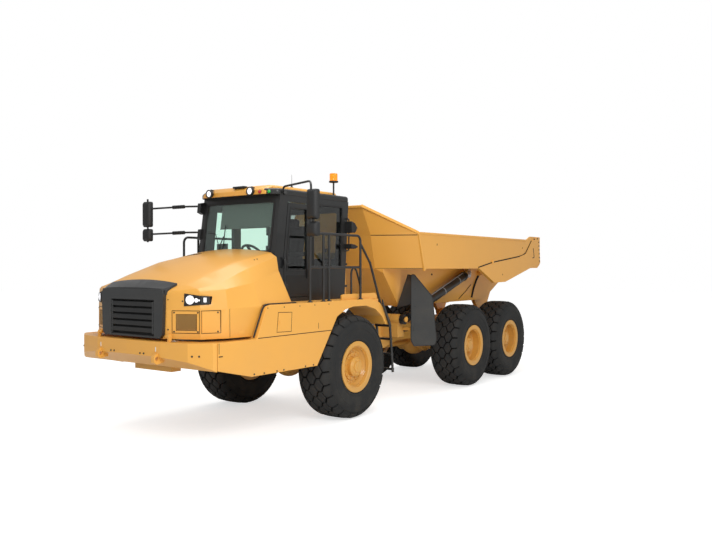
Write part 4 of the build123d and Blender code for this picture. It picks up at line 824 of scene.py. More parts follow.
def buildBumperTrim():
    pale, bolts, dark, plates = newMeshes(4)

    def face(y, z):
        return onSkin("bumper", at(3.8, y, z), (-1, 0, 0))
    half, z, rise = (bumperSet[key] for key in ("slotHalf", "plateZ", "plateRise"))
    y0, y1 = bumperSet["plateY"]
    for side in (1, -1):
        slot = [face(side * bumperSet["slotY"] + dy, z)[0] for dy, z in rect(-half, half, *bumperSet["slotZ"])]
        addSlab(pale, slot, (1, 0, 0), -0.001, 0.003)
        for middle in bumperSet["boltPairs"]:
            for step in (-0.036, 0.036):
                addBolt(bolts, *face(side * middle + step, bumperSet["boltZ"]), 0.010)
        # Hinge plates on top of the bumper beside the grille
        addSlab(plates, mirrored([(3.045, y0, z), (3.105, y0, z), (3.085, y1, z), (3.03, y1, z)], side), (0, 0, 1),
                0.0, rise)
        for y in (y0 + 0.03, y1 - 0.03):
            addBolt(plates, at(3.068, side * y, z + rise), (0, 0, 1), 0.008)
        # Joint to the fender with its foot slot
        for route, width in ([(2.862, 1.392), (2.862, 1.258)], 0.008), ([(2.868, 1.226), (2.80, 1.226)], 0.013):
            addRibbon(dark, [sideSkin("fenders", *spot, side)[0] for spot in route], (0, side, 0), width)
    makePiece(pale, "bumperSlots", "front_frame", "paleTrim", bevel=0.001)
    makePiece(bolts, "bumperBolts", "front_frame", "blackPaint")
    makePiece(dark, "bumperSeams", "front_frame", "darkSlotAndShade", smooth=20)
    makePiece(plates, "hingePlates", "front_frame", "zinc", bevel=0.002)
    print("bumper trim made")


# Fender sides: seams, filler hatch, slit and skirt bolts, on both sides

fenderSet = {
    "seam": [(2.165, 1.402), (1.55, 1.402), (0.60, 1.402)],
    "hatch": [(1.80, 1.455), (1.505, 1.448), (1.490, 1.712), (1.770, 1.722)],
    "latch": (1.747, 1.585), "slit": [(0.904, 1.445), (0.904, 1.530)],
    "skirtBolts": [(2.24, 0.942), (2.05, 0.935), (1.80, 0.935), (1.66, 0.935), (1.20, 0.935), (1.02, 0.935)],
    "topBolts": [(0.66 + 0.33 * k, 1.790) for k in range(5)],
}


def buildFenderTrim():
    dark, bolts, hatch = newMeshes(3)
    for side in (1, -1):
        out = (0, side, 0)

        def spots(key):
            return [sideSkin("fenders", x, z, side)[0] for x, z in fenderSet[key]]
        addRibbon(dark, spots("seam"), out, 0.010)
        addRibbon(dark, spots("slit"), out, 0.007)
        ring = spots("hatch")
        addRibbon(dark, ring, out, 0.007, closed=True)
        addSlab(hatch, [p.lerp(sum(ring, Vector()) / 4, 0.05) for p in ring], out, -0.001, 0.0022)
        centre = sideSkin("fenders", *fenderSet["latch"], side)[0]
        addLathe(hatch, [(0.0, 0.033), (0.004, 0.033), (0.006, 0.030), (0.003, 0.024), (0.003, 0.001)], centre, out,
                 28)
        addSlab(hatch, [centre + Vector((dx, 0, dz)) for dx, dz in rect(-0.006, 0.006, -0.02, 0.02)], out, 0.002,
                0.007)
        for key, size in (("skirtBolts", 0.0095), ("topBolts", 0.007)):
            for spot in spots(key):
                addBolt(bolts, spot, out, size)
    makePiece(dark, "fenderSeams", "front_frame", "darkSlotAndShade", smooth=20)
    makePiece(bolts, "fenderBolts", "front_frame", "blackPaint")
    makePiece(hatch, "fenderHatches", "front_frame", "yellow", bevel=0.0015)
    print("fender trim made")


# Cab: tinted panes, those on the left grey as painted shade of the dark inside, gaskets, wiper, sun blind, door trim
# and the work place

cab = {
    "screenFoot": (1.24, 2.51), "screenSlope": 0.1461, "screenHalf": 0.70, "screenRise": (0.06, 0.80),
    "doorGlass": [(0.500, 2.290), (0.955, 2.290), (0.958, 2.490), (0.870, 3.220), (0.500, 3.220)],
    "sideGlass": [(-0.360, 2.330), (0.340, 2.330), (0.340, 3.300), (-0.400, 3.300)],
    "rearGlass": rect(-0.60, 0.60, 2.46, 3.24), "rearMiddle": (0.70, 2.85),
    "doorPanel": rect(0.485, 0.985, 1.925, 2.215), "blind": (-0.42, 0.66, 2.93, 3.30), "blindDepth": -0.055,
    "wiperY": -0.25, "wiperPivot": (-0.33, 2.585), "gasket": 0.026, "padFill": 0.75,
}
screenNormal = Vector((1, 0, cab["screenSlope"])).normalized()


def screenSpot(y, z, out=0.0):
    # Point on the plane of the windscreen at a height
    x, foot = cab["screenFoot"]
    return at(x - (z - foot) * cab["screenSlope"], y, z) + screenNormal * out


def buildPanes():
    for middle, part in splitNode("cab_glass"):
        x = middle.x - frontAxleX
        if x > 1.1:
            name = "windscreenPane"
        elif middle.y > 0:
            name = "rearSidePaneLeft"
        else:
            name = "rearSidePaneRight" if x < 0.4 else "frontSidePaneRight"
        # Panes on the left take the grey glass, painted shade of the cab inside; the others are tinted clear
        makePiece(part, name, "front_frame", "sideGlass" if middle.y > 0 and x <= 1.1 else "windscreen",
                  smooth=25, replaces=["cab_glass"] if x > 1.1 else ())


def buildCab():
    buildPanes()
    y, z = cab["rearMiddle"]
    wall, wallNormal = onSkin("cab_shell", at(-2.0, y, z), (1, 0, 0))

    def rearSpot(a, b):
        return wall + Vector(((b - z) * wallNormal.z / -wallNormal.x, a - y, b - z))
    pane, rubber, doorRubber, panel, mate, wiper, blind = newMeshes(7)
    addSlab(pane, [rearSpot(a, b) for a, b in roundOutline(cab["rearGlass"], 0.05)], wallNormal, -0.024, -0.018)
    makePiece(pane, "rearPane", "front_frame", "windscreen")

    sideY = sideSkin("cab_shell", 0.385, 2.6, 1)[0].y
    doorY = sideSkin("door", 0.47, 2.9, 1)[0].y
    foot, slope, half = cab["screenFoot"][1], math.atan(cab["screenSlope"]), cab["screenHalf"]
    screen = rect(-half, half, *(foot + rise * math.cos(slope) for rise in cab["screenRise"]))
    addGasket(rubber, screen, screenSpot, screenNormal, 0.034, -0.03, 0.007)
    addGasket(rubber, cab["rearGlass"], rearSpot, wallNormal, 0.03, -0.02, 0.006)
    for target, outline, y, side in ((rubber, "sideGlass", sideY, 1), (rubber, "sideGlass", sideY, -1),
                                     (rubber, "doorGlass", sideY, -1), (doorRubber, "doorGlass", doorY, 1)):
        addGasket(target, cab[outline], lambda a, b: at(a, side * y, b), (0, side, 0), cab["gasket"], -0.02, 0.005,
                  0.03)
    # Raised lower panel of the door and its mate on the right, where the wall is fixed
    for target, y, side in ((panel, doorY, 1), (mate, -sideY, -1)):
        addSidePlate(target, roundOutline(cab["doorPanel"], 0.03), y, side, -0.001, 0.006)
    # Edge strips of the door, its handle and the grab bar inside
    for outline, rise in ((rect(0.470, 1.000, 1.905, 1.911), 0.008), (rect(0.60, 0.985, 2.232, 2.240), 0.004),
                          (rect(0.60, 0.985, 2.262, 2.270), 0.004)):
        addSidePlate(doorRubber, outline, doorY, 1, -0.001, rise)
    for route, radius, bend in (
            ([(0.475, 0.026, 2.19), (0.475, 0.050, 2.205), (0.475, 0.050, 2.275), (0.475, 0.026, 2.29)], 0.009, 0.02),
            ([(0.87, -0.075, 2.50), (0.87, -0.11, 2.53), (0.80, -0.11, 3.0), (0.80, -0.075, 3.03)], 0.012, 0.03)):
        addTube(doorRubber, [at(x, doorY + out, z) for x, out, z in route], radius, bend, 8)
    makePiece(panel, "doorPanel", "door", "blackPlastic", bevel=0.003)
    makePiece(doorRubber, "doorRubber", "door", "blackPaint", smooth=40)
    makePiece(mate, "rightPanel", "front_frame", "blackPlastic", bevel=0.003)
    makePiece(rubber, "windowGaskets", "front_frame", "hoseRubber", smooth=40)

    # Wiper with its blade, spring arm and washer arm
    y = cab["wiperY"]
    addSlab(wiper, [screenSpot(a, b) for a, b in rect(y - 0.006, y + 0.006, 2.66, 2.98)], screenNormal, 0.008, 0.020)
    for route, radius, bend in (([(-0.33, 2.585, 0.012), (-0.31, 2.64, 0.034), (y, 2.80, 0.030)], 0.008, 0.03),
                                ([(-0.33, 2.60, 0.010), (-0.44, 2.85, 0.022), (-0.62, 2.86, 0.018)], 0.006, 0.04)):
        addTube(wiper, [screenSpot(*spot) for spot in route], radius, bend, 8)
    addLathe(wiper, [(0.0, 0.026), (0.02, 0.026), (0.03, 0.018), (0.03, 0.001)], screenSpot(*cab["wiperPivot"]),
             screenNormal, 20)
    makePiece(wiper, "wiper", "front_frame", "blackPaint", bevel=0.0015)
    # Roller blind behind the upper part of the windscreen, with its tube and pull bar
    y0, y1, low, high = cab["blind"]
    depth = cab["blindDepth"]
    addSlab(blind, [screenSpot(a, b, depth) for a, b in rect(y0, y1, low, high)], screenNormal, 0.0, 0.002)
    addTube(blind, [screenSpot(a, high + 0.01, depth) for a in (y0 - 0.02, y1 + 0.02)], 0.02, 0.01, 12)
    addTube(blind, [screenSpot(a, low, depth + 0.001) for a in (y0, y1)], 0.008, 0.01, 8)
    makePiece(blind, "sunBlind", "front_frame", "blindGrey", smooth=40)
    print("cab trim made")


def buildWorkPlace():
    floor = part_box("seat")[0].z
    lean = Matrix.Rotation(-math.atan2(0.12, 0.69), 3, "Y")

    def over(x, y, z):
        # Point at a height over the floor of the cab
        return at(x, y, floor + z)

    def addSide(bm, outline, low, high):
        # Outline of metres ahead and over the floor, pushed across from low to high
        addPrism(bm, [(x, floor + z) for x, z in outline], low, high, "y")
    for name, centre, size, turn in (
            ("seatCushion", over(0.275, 0, 0.455), (0.53, 0.53, 0.15), Matrix.Identity(3)),
            ("seatBack", over(0.045, 0, 0.80), (0.14, 0.50, 0.66), lean),
            ("seatHeadrest", over(-0.055, 0, 1.155), (0.11, 0.30, 0.19), lean)):
        bm = bmesh.new()
        addPad(bm, centre, size, turn)
        piece = makePiece(bm, name, "front_frame", "seatCloth", smooth=60)
    fittings, wheel, screen, gauges = newMeshes(4)
    # Arm rests, headrest posts and the box with the side levers
    for side in (1, -1):
        addTube(fittings, [over(-0.04, side * 0.06, 1.02), over(-0.055, side * 0.06, 1.10)], 0.007, 0.01, 8)
        addSide(fittings, [(0.02, 0.64), (0.36, 0.66), (0.38, 0.70), (0.02, 0.71)], side * 0.345 - 0.04,
                side * 0.345 + 0.04)
        addTube(fittings, [over(0.0, side * 0.27, 0.62), over(0.03, side * 0.31, 0.67)], 0.016, 0.01, 8)
    addSide(fittings, [(0.10, 0), (0.62, 0), (0.66, 0.54), (0.14, 0.56)], -0.62, -0.44)
    for x, tall in ((0.56, 0.13), (0.48, 0.09), (0.42, 0.09)):
        addTube(fittings, [over(x, -0.52, 0.54), over(x + 0.01, -0.52, 0.54 + tall)], 0.008, 0.01, 8)
        addLathe(fittings, [(0.0, 0.014), (0.02, 0.022), (0.045, 0.022), (0.058, 0.012)],
                 over(x + 0.01, -0.52, 0.53 + tall), (0.1, 0, 1), 14)
    makePiece(fittings, "seatFittings", "front_frame", "greyPlastic", bevel=0.006)
    # Steering wheel rim, hub and knob over the plain one, gauge hood and pedals
    axis = Vector((-0.75, 0, 0.66)).normalized()
    hub = over(0.96, 0, 0.54) + axis * 0.163
    u, v = axes(axis)
    skinRings(wheel, [addLoop(wheel, [
        hub + (u * math.cos(a) + v * math.sin(a)) * (0.2015 + 0.020 * math.cos(t)) + axis * (0.020 * math.sin(t))
        for t in turns(10)]) for a in turns(48)], closed=True)
    addLathe(wheel, [(-0.02, 0.055), (0.016, 0.060), (0.028, 0.052), (0.032, 0.001)], hub, axis, 28)
    addLathe(wheel, [(0.0, 0.008), (0.03, 0.010), (0.034, 0.022), (0.052, 0.022), (0.06, 0.008)],
             hub + (u * 0.13 + v * 0.155), axis, 16)
    addSide(wheel, [(1.00, 0.60), (1.16, 0.58), (1.165, 0.66), (1.09, 0.72), (1.00, 0.66)], -0.22, 0.22)
    for y in (-0.14, 0.0, 0.12):
        addSide(wheel, [(0.86, 0.02), (0.93, 0.10), (0.92, 0.115), (0.85, 0.035)], y - 0.045, y + 0.045)
    makePiece(wheel, "steeringWheel", "front_frame", "blackPlastic", bevel=0.003, smooth=50)
    # Display on its post, and the faces of the display and gauges
    addSlab(screen, [over(1.04, y, z) for y, z in rect(-0.56, -0.34, 0.68, 0.83)], (-1, 0, 0.2), -0.03, 0.0)
    addTube(screen, [over(1.06, -0.45, 0.60), over(1.06, -0.45, 0.72)], 0.012, 0.01, 8)
    makePiece(screen, "cabScreen", "front_frame", "blackPlastic", bevel=0.004)
    addSlab(gauges, [over(1.0405, y, z) for y, z in rect(-0.545, -0.355, 0.695, 0.815)], (-1, 0, 0.2), 0.0015,
            0.0025)
    for y in (-0.13, 0.0, 0.13):
        addLathe(gauges, [(0.0, 0.045), (0.004, 0.045), (0.004, 0.001)], over(1.0, y, 0.632), (-1, 0, 0.12), 24)
    makePiece(gauges, "cabGauges", "front_frame", "gaugeFace")
    print("work place made")


# Roof: yellow brow, work lamps, signal lamps, aerial and beacon

roofSet = {
    "brow": [(1.262, 3.402), (1.288, 3.404), (1.282, 3.468), (1.215, 3.520), (1.130, 3.548), (1.120, 3.52)],
    "browEnds": [(-0.66, 0.02), (-0.60, 0), (0.60, 0), (0.66, 0.02)],  # distance left, how far it is drawn in
    "lamps": [(-0.452, 3.456, 0.052), (0.405, 3.450, 0.054)],
    # Profiles of a work lamp: distance ahead, share of its radius
    "lampCase": [(-0.012, 0.6), (0.0, 0.9), (0.03, 1.16), (0.066, 1.2), (0.070, 1.12), (0.066, 0.94), (0.05, 0.9)],
    "lampBowl": [(0.046, 0.92), (0.052, 0.6), (0.052, 0)],
    "lampLens": [(0.0565, 0.93), (0.062, 0.8), (0.065, 0.4), (0.0655, 0)],
    "signals": [(1.289, 0.560, 3.436), (1.2475, 0.705, 3.436)], "beacon": (-0.30, 0.70), "aerial": (0.62, 0.60),
    "pole": [(0.0, 0.035), (0.008, 0.035), (0.012, 0.014), (0.205, 0.014), (0.21, 0.05), (0.214, 0.074),
             (0.236, 0.076), (0.240, 0.066)],
    "rib": [(0.008, 0.066), (0.012, 0.0635), (0.020, 0.0635), (0.024, 0.066)], "ribPitch": 0.018, "ribs": 6,
}


def buildRoof():
    brow, black, lenses, bowls, red, green, amber = newMeshes(7)
    skinRings(brow, [addLoop(brow, [at(x - drawn, y, z - (drawn if z > 3.45 else 0)) for x, z in roofSet["brow"]])
                     for y, drawn in roofSet["browEnds"]])
    makePiece(brow, "roofBrow", "front_frame", "yellow", bevel=0.006)
    for y, z, radius in roofSet["lamps"]:
        for target, part, steps in ((black, "lampCase", 32), (bowls, "lampBowl", 28), (lenses, "lampLens", 28)):
            addLathe(target, [(along, radius * share or 0.001) for along, share in roofSet[part]], at(1.282, y, z),
                     (1, 0, 0), steps)
        addTube(black, [at(1.24, y, z + 0.055), at(1.30, y, z + 0.065)], 0.010, 0.01, 8)
    # Low housing between the lamps and the plinths of the signal lamps
    addPrism(black, roundOutline(rect(-0.02, 0.225, 3.515, 3.545), 0.012), 1.20, 1.262, "x")
    for target, spot, out in zip((red, green), roofSet["signals"], ((1, 0, 0), (1.7, 1.2, 0))):
        place, out = at(*spot), Vector(out).normalized()
        addLathe(black, [(-0.012, 0.030), (0.004, 0.030), (0.006, 0.026)], place - out * 0.004, out, 24)
        addLathe(target, [(0.0, 0.026), (0.010, 0.025), (0.019, 0.018), (0.022, 0.001)], place, out, 24)
    makePiece(red, "signalRed", "front_frame", "redLens")
    makePiece(green, "signalGreen", "front_frame", "greenLens")
    addLathe(black, [(0.0, 0.022), (0.012, 0.022), (0.02, 0.012), (0.03, 0.007), (0.05, 0.0035), (0.20, 0.002)],
             at(*roofSet["aerial"], 3.5495), (0, 0, 1), 12)
    # Beacon on its pole, the lens with ribs
    addLathe(black, roofSet["pole"], at(*roofSet["beacon"], 3.4905), (0, 0, 1), 28)
    ribs = [(along + roofSet["ribPitch"] * k, radius) for k in range(roofSet["ribs"])
            for along, radius in roofSet["rib"]]
    addLathe(amber, [(0.0, 0.066), *ribs, (0.118, 0.062), (0.124, 0.05), (0.126, 0.001)],
             at(*roofSet["beacon"], 3.7285), (0, 0, 1), 36)
    makePiece(amber, "beaconLens", "front_frame", "amber", smooth=40, replaces=["beacon"])
    makePiece(black, "roofFittings", "front_frame", "blackPlastic", smooth=40)
    makePiece(bowls, "roofLampBowls", "front_frame", "reflector")
    makePiece(lenses, "roofLampLenses", "front_frame", "lampLens", smooth=40,
              replaces=["roof_lamps"])
    print("roof made")


# Mirrors: roof loop on the left, two arms on the right, shells with glass

mirrorSet = {
    "pole": (1.50, 1.70), "poleLow": 2.735, "poleHigh": 3.43, "tube": 0.015, "armZ": (3.292, 2.882),
    "heads": [(2.98, 3.39), (2.75, 2.95)], "shell": (1.455, 1.545, 1.625, 1.815),
}


def buildMirrors():
    arms, shells, glass = newMeshes(3)
    (x, y), tube, low, high = (mirrorSet[key] for key in ("pole", "tube", "poleLow", "poleHigh"))
    addTube(arms, [at(1.06, 0.79, 3.40), at(1.06, 0.82, 3.515), at(1.40, 1.60, 3.515), at(x, y, 3.45),
                   at(x, y, low)], tube, 0.09, 12)
    addTube(arms, [at(1.02, 0.79, 3.43), at(1.06, 0.86, 3.43)], tube * 1.8, 0.02, 12)
    addTube(arms, [at(x, -y, high), at(x, -y, low)], tube, 0.02, 12)
    for z in mirrorSet["armZ"]:
        route = [at(1.19, -0.80, z), at(1.30, -1.02, z), at(x, -y, z - 0.02)]
        addTube(arms, route, tube, 0.10, 12)
        # Ribbed sleeve and its bracket on the front pillar
        d = (route[2] - route[1]).normalized()
        for k in range(7):
            addLathe(arms, [(0.0, tube), (0.006, tube * 1.9), (0.024, tube * 2.0), (0.030, tube)],
                     route[1] + d * (0.02 + 0.032 * k), d, 16)
        addPrism(arms, [(1.13, z + 0.06), (1.215, z + 0.045), (1.235, z - 0.10), (1.15, z - 0.13)], -0.835, -0.765,
                 "y")
    x0, x1, y0, y1 = mirrorSet["shell"]
    for side in (1, -1):
        for z0, z1 in mirrorSet["heads"]:
            outline = roundOutline(rect(y0, y1, z0, z1), 0.035)
            cy, cz = (y0 + y1) / 2, (z0 + z1) / 2
            skinRings(shells, [addLoop(shells, [
                at(px, side * (cy + (a - cy) * (1 - shrink / (y1 - y0) * 2)),
                   cz + (b - cz) * (1 - shrink / (z1 - z0) * 2)) for a, b in outline])
                for px, shrink in ((x0, 0.0), (x0 + 0.045, 0.0), (x1 - 0.015, 0.022), (x1, 0.045))])
            face = roundOutline(rect(y0 + 0.012, y1 - 0.012, z0 + 0.012, z1 - 0.012), 0.03)
            addSlab(glass, [at(x0, side * a, b) for a, b in face], (-1, 0, 0), 0.0, 0.0025)
            for z in (z0 + 0.05, z1 - 0.05):
                addLathe(arms, [(-0.014, tube * 1.5), (0.014, tube * 1.5)], at(x, side * y, z), (0, 0, 1), 14)
    makePiece(arms, "mirrorArms", "front_frame", "blackPaint", smooth=40, replaces=["mirrors"])
    makePiece(shells, "mirrorShells", "front_frame", "blackPlastic", smooth=40)
    makePiece(glass, "mirrorGlass", "front_frame", "mirrorGlass")
    print("mirrors made")


# Load body: front wings, top rails, corner ribs, seams and painted shadow lines, bolts and small fittings

bodySet = {
    # Front corner of the body on the left: edge of the panel, top of the wing, fold below it, front of the rail
    "corner": [(-1.08, 0.459, 3.38), (-1.08, 0.70, 3.38), (-1.355, 0.70, 2.885), (-1.69, 1.45, 2.93)],
    "panelNormal": (0.870, 0.400, -0.2875), "sideY": 1.45, "cheekY": 1.462,
    # Rail along the side and lip under it: ends, then columns of distance left and height
    "rail": (-1.70, -6.31, [(1.416, 2.905), (1.416, 2.936), (1.422, 2.9395), (1.456, 2.9395), (1.462, 2.934),
                            (1.462, 2.904), (1.4485, 2.893)]),
    "lip": (-1.93, -3.96, [(1.436, 2.298), (1.454, 2.303), (1.457, 2.312), (1.456, 2.322), (1.4485, 2.329)]),
    "frontRail": [(-1.062, 3.352), (-1.062, 3.386), (-1.072, 3.394), (-1.118, 3.394), (-1.128, 3.352)],
    # Dark lines on the corner panel: the wide one under the fold of the wing is painted shadow, the narrow one lower
    # down a seam
    "panelShadowAndSeam": [([(-1.355, 0.70, 2.885), (-1.698, 1.444, 2.885)], 0.014),
                   ([(-1.532, 0.670, 2.31), (-1.883, 1.435, 2.31)], 0.006)],
    # Painted shadow line along the proud edge of the cheek plate
    "cheekShadowLine": [(-3.99, 2.326), (-4.622, 2.427), (-5.90, 2.557), (-6.10, 2.585), (-6.275, 2.636),
                  (-6.45, 2.778), (-6.618, 2.924)],
    "cornerSeam": [(-1.742, 1.45, 2.90), (-1.935, 1.45, 2.315)],
    "tailSlots": [([(-6.70, 2.755), (-6.755, 2.545)], 0.028), ([(-6.748, 2.548), (-6.655, 2.536)], 0.018)],
    "tailBolts": [(-7.020, 2.900), (-7.030, 2.812), (-7.037, 2.724), (-7.043, 2.636), (-7.048, 2.548),
                  (-7.054, 2.470), (-6.93, 2.975), (-6.76, 2.960)],
    "holes": [(-5.084, 2.176), (-6.124, 2.749), (-2.36, 2.735)],
    "tab": [(-4.585, 2.40), (-4.585, 2.452), (-4.607, 2.470), (-4.642, 2.470), (-4.655, 2.452), (-4.655, 2.40)],
    # Near-black rib on the trough where a bracket plate casts its shadow: painted shadow
    "rib": [(-5.345, 2.20), (-5.22, 2.02), (-5.15, 1.84), (-5.13, 1.68)],
    "hose": [(-5.03, 1.96), (-4.80, 1.80), (-4.56, 1.67)],
    "boss": [(-0.02, 0.058), (0.07, 0.052), (0.078, 0.045), (0.078, 0.026), (0.055, 0.024), (0.055, 0.001)],
    "boltSize": 0.013,
}


def addBodySide(rails, dark, bolts, fittings, side):
    out, y, cheek, size = Vector((0, side, 0)), *(bodySet[key] for key in ("sideY", "cheekY", "boltSize"))
    peak, _, front = mirrored(bodySet["corner"][1:], side)
    # Rail on the wing, along the side, and the rib down the corner
    addBeam(rails, peak + Vector((0.012, 0, 0.0)), front + Vector((-0.02, 0, -0.008)), out, 0.034, 0.050)
    addBeam(rails, *mirrored([(-1.712, 1.452, 2.925), (-1.918, 1.452, 2.272)], side), out, 0.036, 0.052)
    for start, end, outline in (bodySet["rail"], bodySet["lip"]):
        addPrism(rails, [(side * a, z) for a, z in outline], start, end, "x")
    normal = Vector(bodySet["panelNormal"])
    normal.y *= side
    # Painted shadow under the fold of the wing and along the cheek plate, and the seam on the corner panel
    for points, width in bodySet["panelShadowAndSeam"]:
        addRibbon(dark, mirrored(points, side), normal, width)
    addRibbon(dark, mirrored([(x, y + 0.0005, z) for x, z in bodySet["cheekShadowLine"]], side), out, 0.022, -0.004,
              0.0045)
    addRibbon(dark, mirrored(bodySet["cornerSeam"], side), out, 0.006)
    # Slots, bolts and holes of the tail
    for points, width in bodySet["tailSlots"]:
        addRibbon(dark, mirrored([(x, cheek, z) for x, z in points], side), out, width)
    for x, z in bodySet["tailBolts"]:
        addBolt(bolts, at(x, side * cheek, z), out, size)
    for x, z in bodySet["holes"]:
        spot = sideSkin("bed", x, z, side)[0]
        addSlab(dark, [spot + Vector((0.011 * math.cos(a), 0, 0.02 * math.sin(a))) for a in turns(14)], out, -0.002,
                0.0012)
    # Lifting tab over the cheek and pads where the body rests on the frame
    addPrism(fittings, bodySet["tab"], side * 1.449, side * 1.474, "y")
    for x in (-2.70, -3.60, -4.55):
        addPrism(fittings, [(x - 0.09, 1.6205), (x + 0.09, 1.6205), (x + 0.075, 1.585), (x - 0.075, 1.585)],
                 side * 0.34, side * 0.44, "y")
    # Rib, hose and boss on the slope of the trough behind the hoist eye. The near-black rib is painted shadow of a
    # bracket plate
    for key, lift, radius in (("rib", 0.010, 0.022), ("hose", 0.004, 0.007)):
        hits = [sideSkin("bed", x, z, side, 1.3) for x, z in bodySet[key]]
        addTube(dark, [spot + face * lift for spot, face in hits], radius, 0.08, 8)
    addLathe(fittings, bodySet["boss"], sideSkin("bed", -5.30, 2.20, side, 1.3)[0], (0, side, 0), 24)
    addBolt(bolts, *onSkin("bed", at(-1.93, side * 1.4, 2.19), (-0.9, -side * 0.4, 0)), 0.016)


def buildBody():
    wings, rails, dark, bolts, fittings = newMeshes(5)
    for side in (1, -1):
        corners = addLoop(wings, mirrored(bodySet["corner"], side))
        for face in ((0, 1, 2), (1, 3, 2), (0, 3, 1), (0, 2, 3)):
            wings.faces.new([corners[i] for i in face])
        addBodySide(rails, dark, bolts, fittings, side)
    # Rail across the front, stiffeners under the floor and bolts of the lip plate under the tail edge
    addPrism(rails, bodySet["frontRail"], -0.70, 0.70, "y")
    for x in (-2.95, -3.85, -4.75):
        addPrism(fittings, [(x - 0.05, 1.622), (x - 0.035, 1.575), (x + 0.035, 1.575), (x + 0.05, 1.622)], -0.30,
                 0.30, "y")
    for k in range(9):
        addBolt(bolts, *onSkin("bed", at(-6.75, -0.96 + 0.24 * k, 1.2), (0, 0, 1)), bodySet["boltSize"])
    makePiece(wings, "bodyWings", "bed", "yellow", smooth=20)
    makePiece(rails, "bodyRails", "bed", "yellow", bevel=0.006)
    makePiece(fittings, "bodyFittings", "bed", "yellow", bevel=0.005)
    makePiece(dark, "bodySeamsAndShadows", "bed", "darkSlotAndShade", smooth=30)
    makePiece(bolts, "bodyBolts", "bed", "blackPaint")
    print("load body made")


# Hoist and steering cylinders: collars, ports, pipes, pin caps and hoses

cylinders = {
    "hoist": {"pins": [(-2.10, 0.90, 1.39), (-4.60, 0.90, 2.20)], "end": 2.478, "radius": 0.082, "rod": 0.050},
    "steering": {"pins": [(-0.28, 0.52, 0.80), (-1.60, 0.36, 0.80)], "end": 0.790, "radius": 0.055, "rod": 0.032},
    "capRing": [(-0.004, 0.049), (0.006, 0.049), (0.009, 0.045), (0.009, 0.026), (0.001, 0.022), (0.001, 0.001)],
    "capPlate": [(-0.012, 0.086), (0.001, 0.086), (0.003, 0.080), (0.003, 0.058)],
    "port": [(0, 0.024), (0.022, 0.024), (0.024, 0.017), (0.036, 0.017), (0.036, 0.004)],
    "hose": [(-2.42, 0.44, 1.12), (-2.46, 0.56, 1.12), (-2.62, 0.74, 1.16), (-2.70, 0.90, 1.30),
             (-2.66, 0.90, 1.52)],
}


def addCylinder(collars, pipes, data, side):
    foot, eye = mirrored(data["pins"], side)
    d = (eye - foot).normalized()
    end, radius, rod = data["end"], data["radius"], data["rod"]
    lift = (Vector((0, 0, 1)) - d * d.z).normalized()
    outward = Vector((0, side, 0)) - d * (d.y * side)
    mount = (lift + outward * 0.35).normalized()
    start, gland = 1.05 * radius + 0.03, end - 0.085
    for profile in (
            [(start, -0.002), (start, 0.010), (start + 0.05, 0.010), (start + 0.056, 0.004), (start + 0.056, -0.002)],
            [(gland, -0.002), (gland, 0.009), (gland + 0.055, 0.009), (gland + 0.060, 0.003), (end + 0.004, 0.003),
             (end + 0.010, -0.004), (end + 0.010, rod + 0.006 - radius), (end + 0.004, rod + 0.0015 - radius)]):
        addLathe(collars, [(along, radius + grow) for along, grow in profile], foot, d, 32, cap=False)
    addBoltRing(collars, foot + d * (end + 0.009), d, outward, lift, radius - 0.016, 8, 0.0065)
    # Two ports joined by a pipe clipped to the barrel
    low, high = start + 0.12, gland - 0.04
    for reach in (low, high):
        addLathe(collars, cylinders["port"], foot + d * reach + mount * (radius - 0.004), mount, 20)
    addTube(pipes, [foot + d * reach + mount * (radius + rise) for reach, rise in (
        (high, 0.026), (high - 0.06, 0.020), (low + 0.16, 0.020), (low + 0.11, 0.020))], 0.009, 0.04)
    for share in (0.3, 0.6, 0.9):
        addLathe(pipes, [(-0.012, radius - 0.001), (-0.012, radius + 0.004), (0.012, radius + 0.004),
                         (0.012, radius - 0.001)], foot + d * (low + (high - low) * share), d, 28, cap=False)


def buildCylinders():
    for kind in ("hoist", "steering"):
        for side, label in sides:
            collars, pipes = newMeshes(2)
            addCylinder(collars, pipes, cylinders[kind], side)
            body = f"{kind}_barrel_{label}"
            makePiece(collars, f"{kind}Collars_{label}", body, "blackPaint", smooth=40)
            makePiece(pipes, f"{kind}Pipes_{label}", body, "castGrey", smooth=40)
    # Cap on the hoist eye, a pale ring round a dark bore, and the hose to the barrel
    for side, label in sides:
        caps, hose = newMeshes(2)
        addLathe(caps, cylinders["capRing"], at(-4.60, side * 0.952, 2.20), (0, side, 0), 28)
        addLathe(caps, cylinders["capPlate"], at(-4.60, side * 0.938, 2.20), (0, side, 0), 32, cap=False)
        makePiece(caps, f"hoistEyeCap_{label}", f"hoist_rod_{label}", "zinc", smooth=40)
        addTube(hose, mirrored(cylinders["hose"], side), 0.017, 0.09)
        piece = makePiece(hose, f"hoistHose_{label}", "rear_frame", "hoseRubber", smooth=40)
        piece.parent = None
        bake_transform(piece)
    print("cylinder trim made")


# Articulation: hose bundle over the hitch in two spans, with its clamps and fittings

hoseSet = {
    "across": (-0.21, -0.15, -0.09, 0.09, 0.15, 0.21), "radius": 0.018,
    # Routes of the two spans. Columns: metres ahead, share of the distance across, height
    "front": [(-0.80, 1.1, 1.20), (-0.80, 1.1, 1.43), (-1.02, 1.05, 1.50), (-1.42, 1, 1.50), (-1.545, 1, 1.40),
              (-1.545, 1, 1.325)],
    "rear": [(-1.568, 1, 1.36), (-1.62, 1, 1.47), (-1.86, 1.15, 1.47), (-1.965, 1.25, 1.38),
             (-1.965, 1.25, 1.285)],
    "nut": [(0, 0.026), (0.014, 0.026), (0.014, 0.022), (0.045, 0.022), (0.048, 0.018)],
}


def layBlend(bm, name):
    # A rubber hose piece across one joint, left in the world with no body
    piece = makeObject(bm, name, "hoseRubber")
    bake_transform(piece)


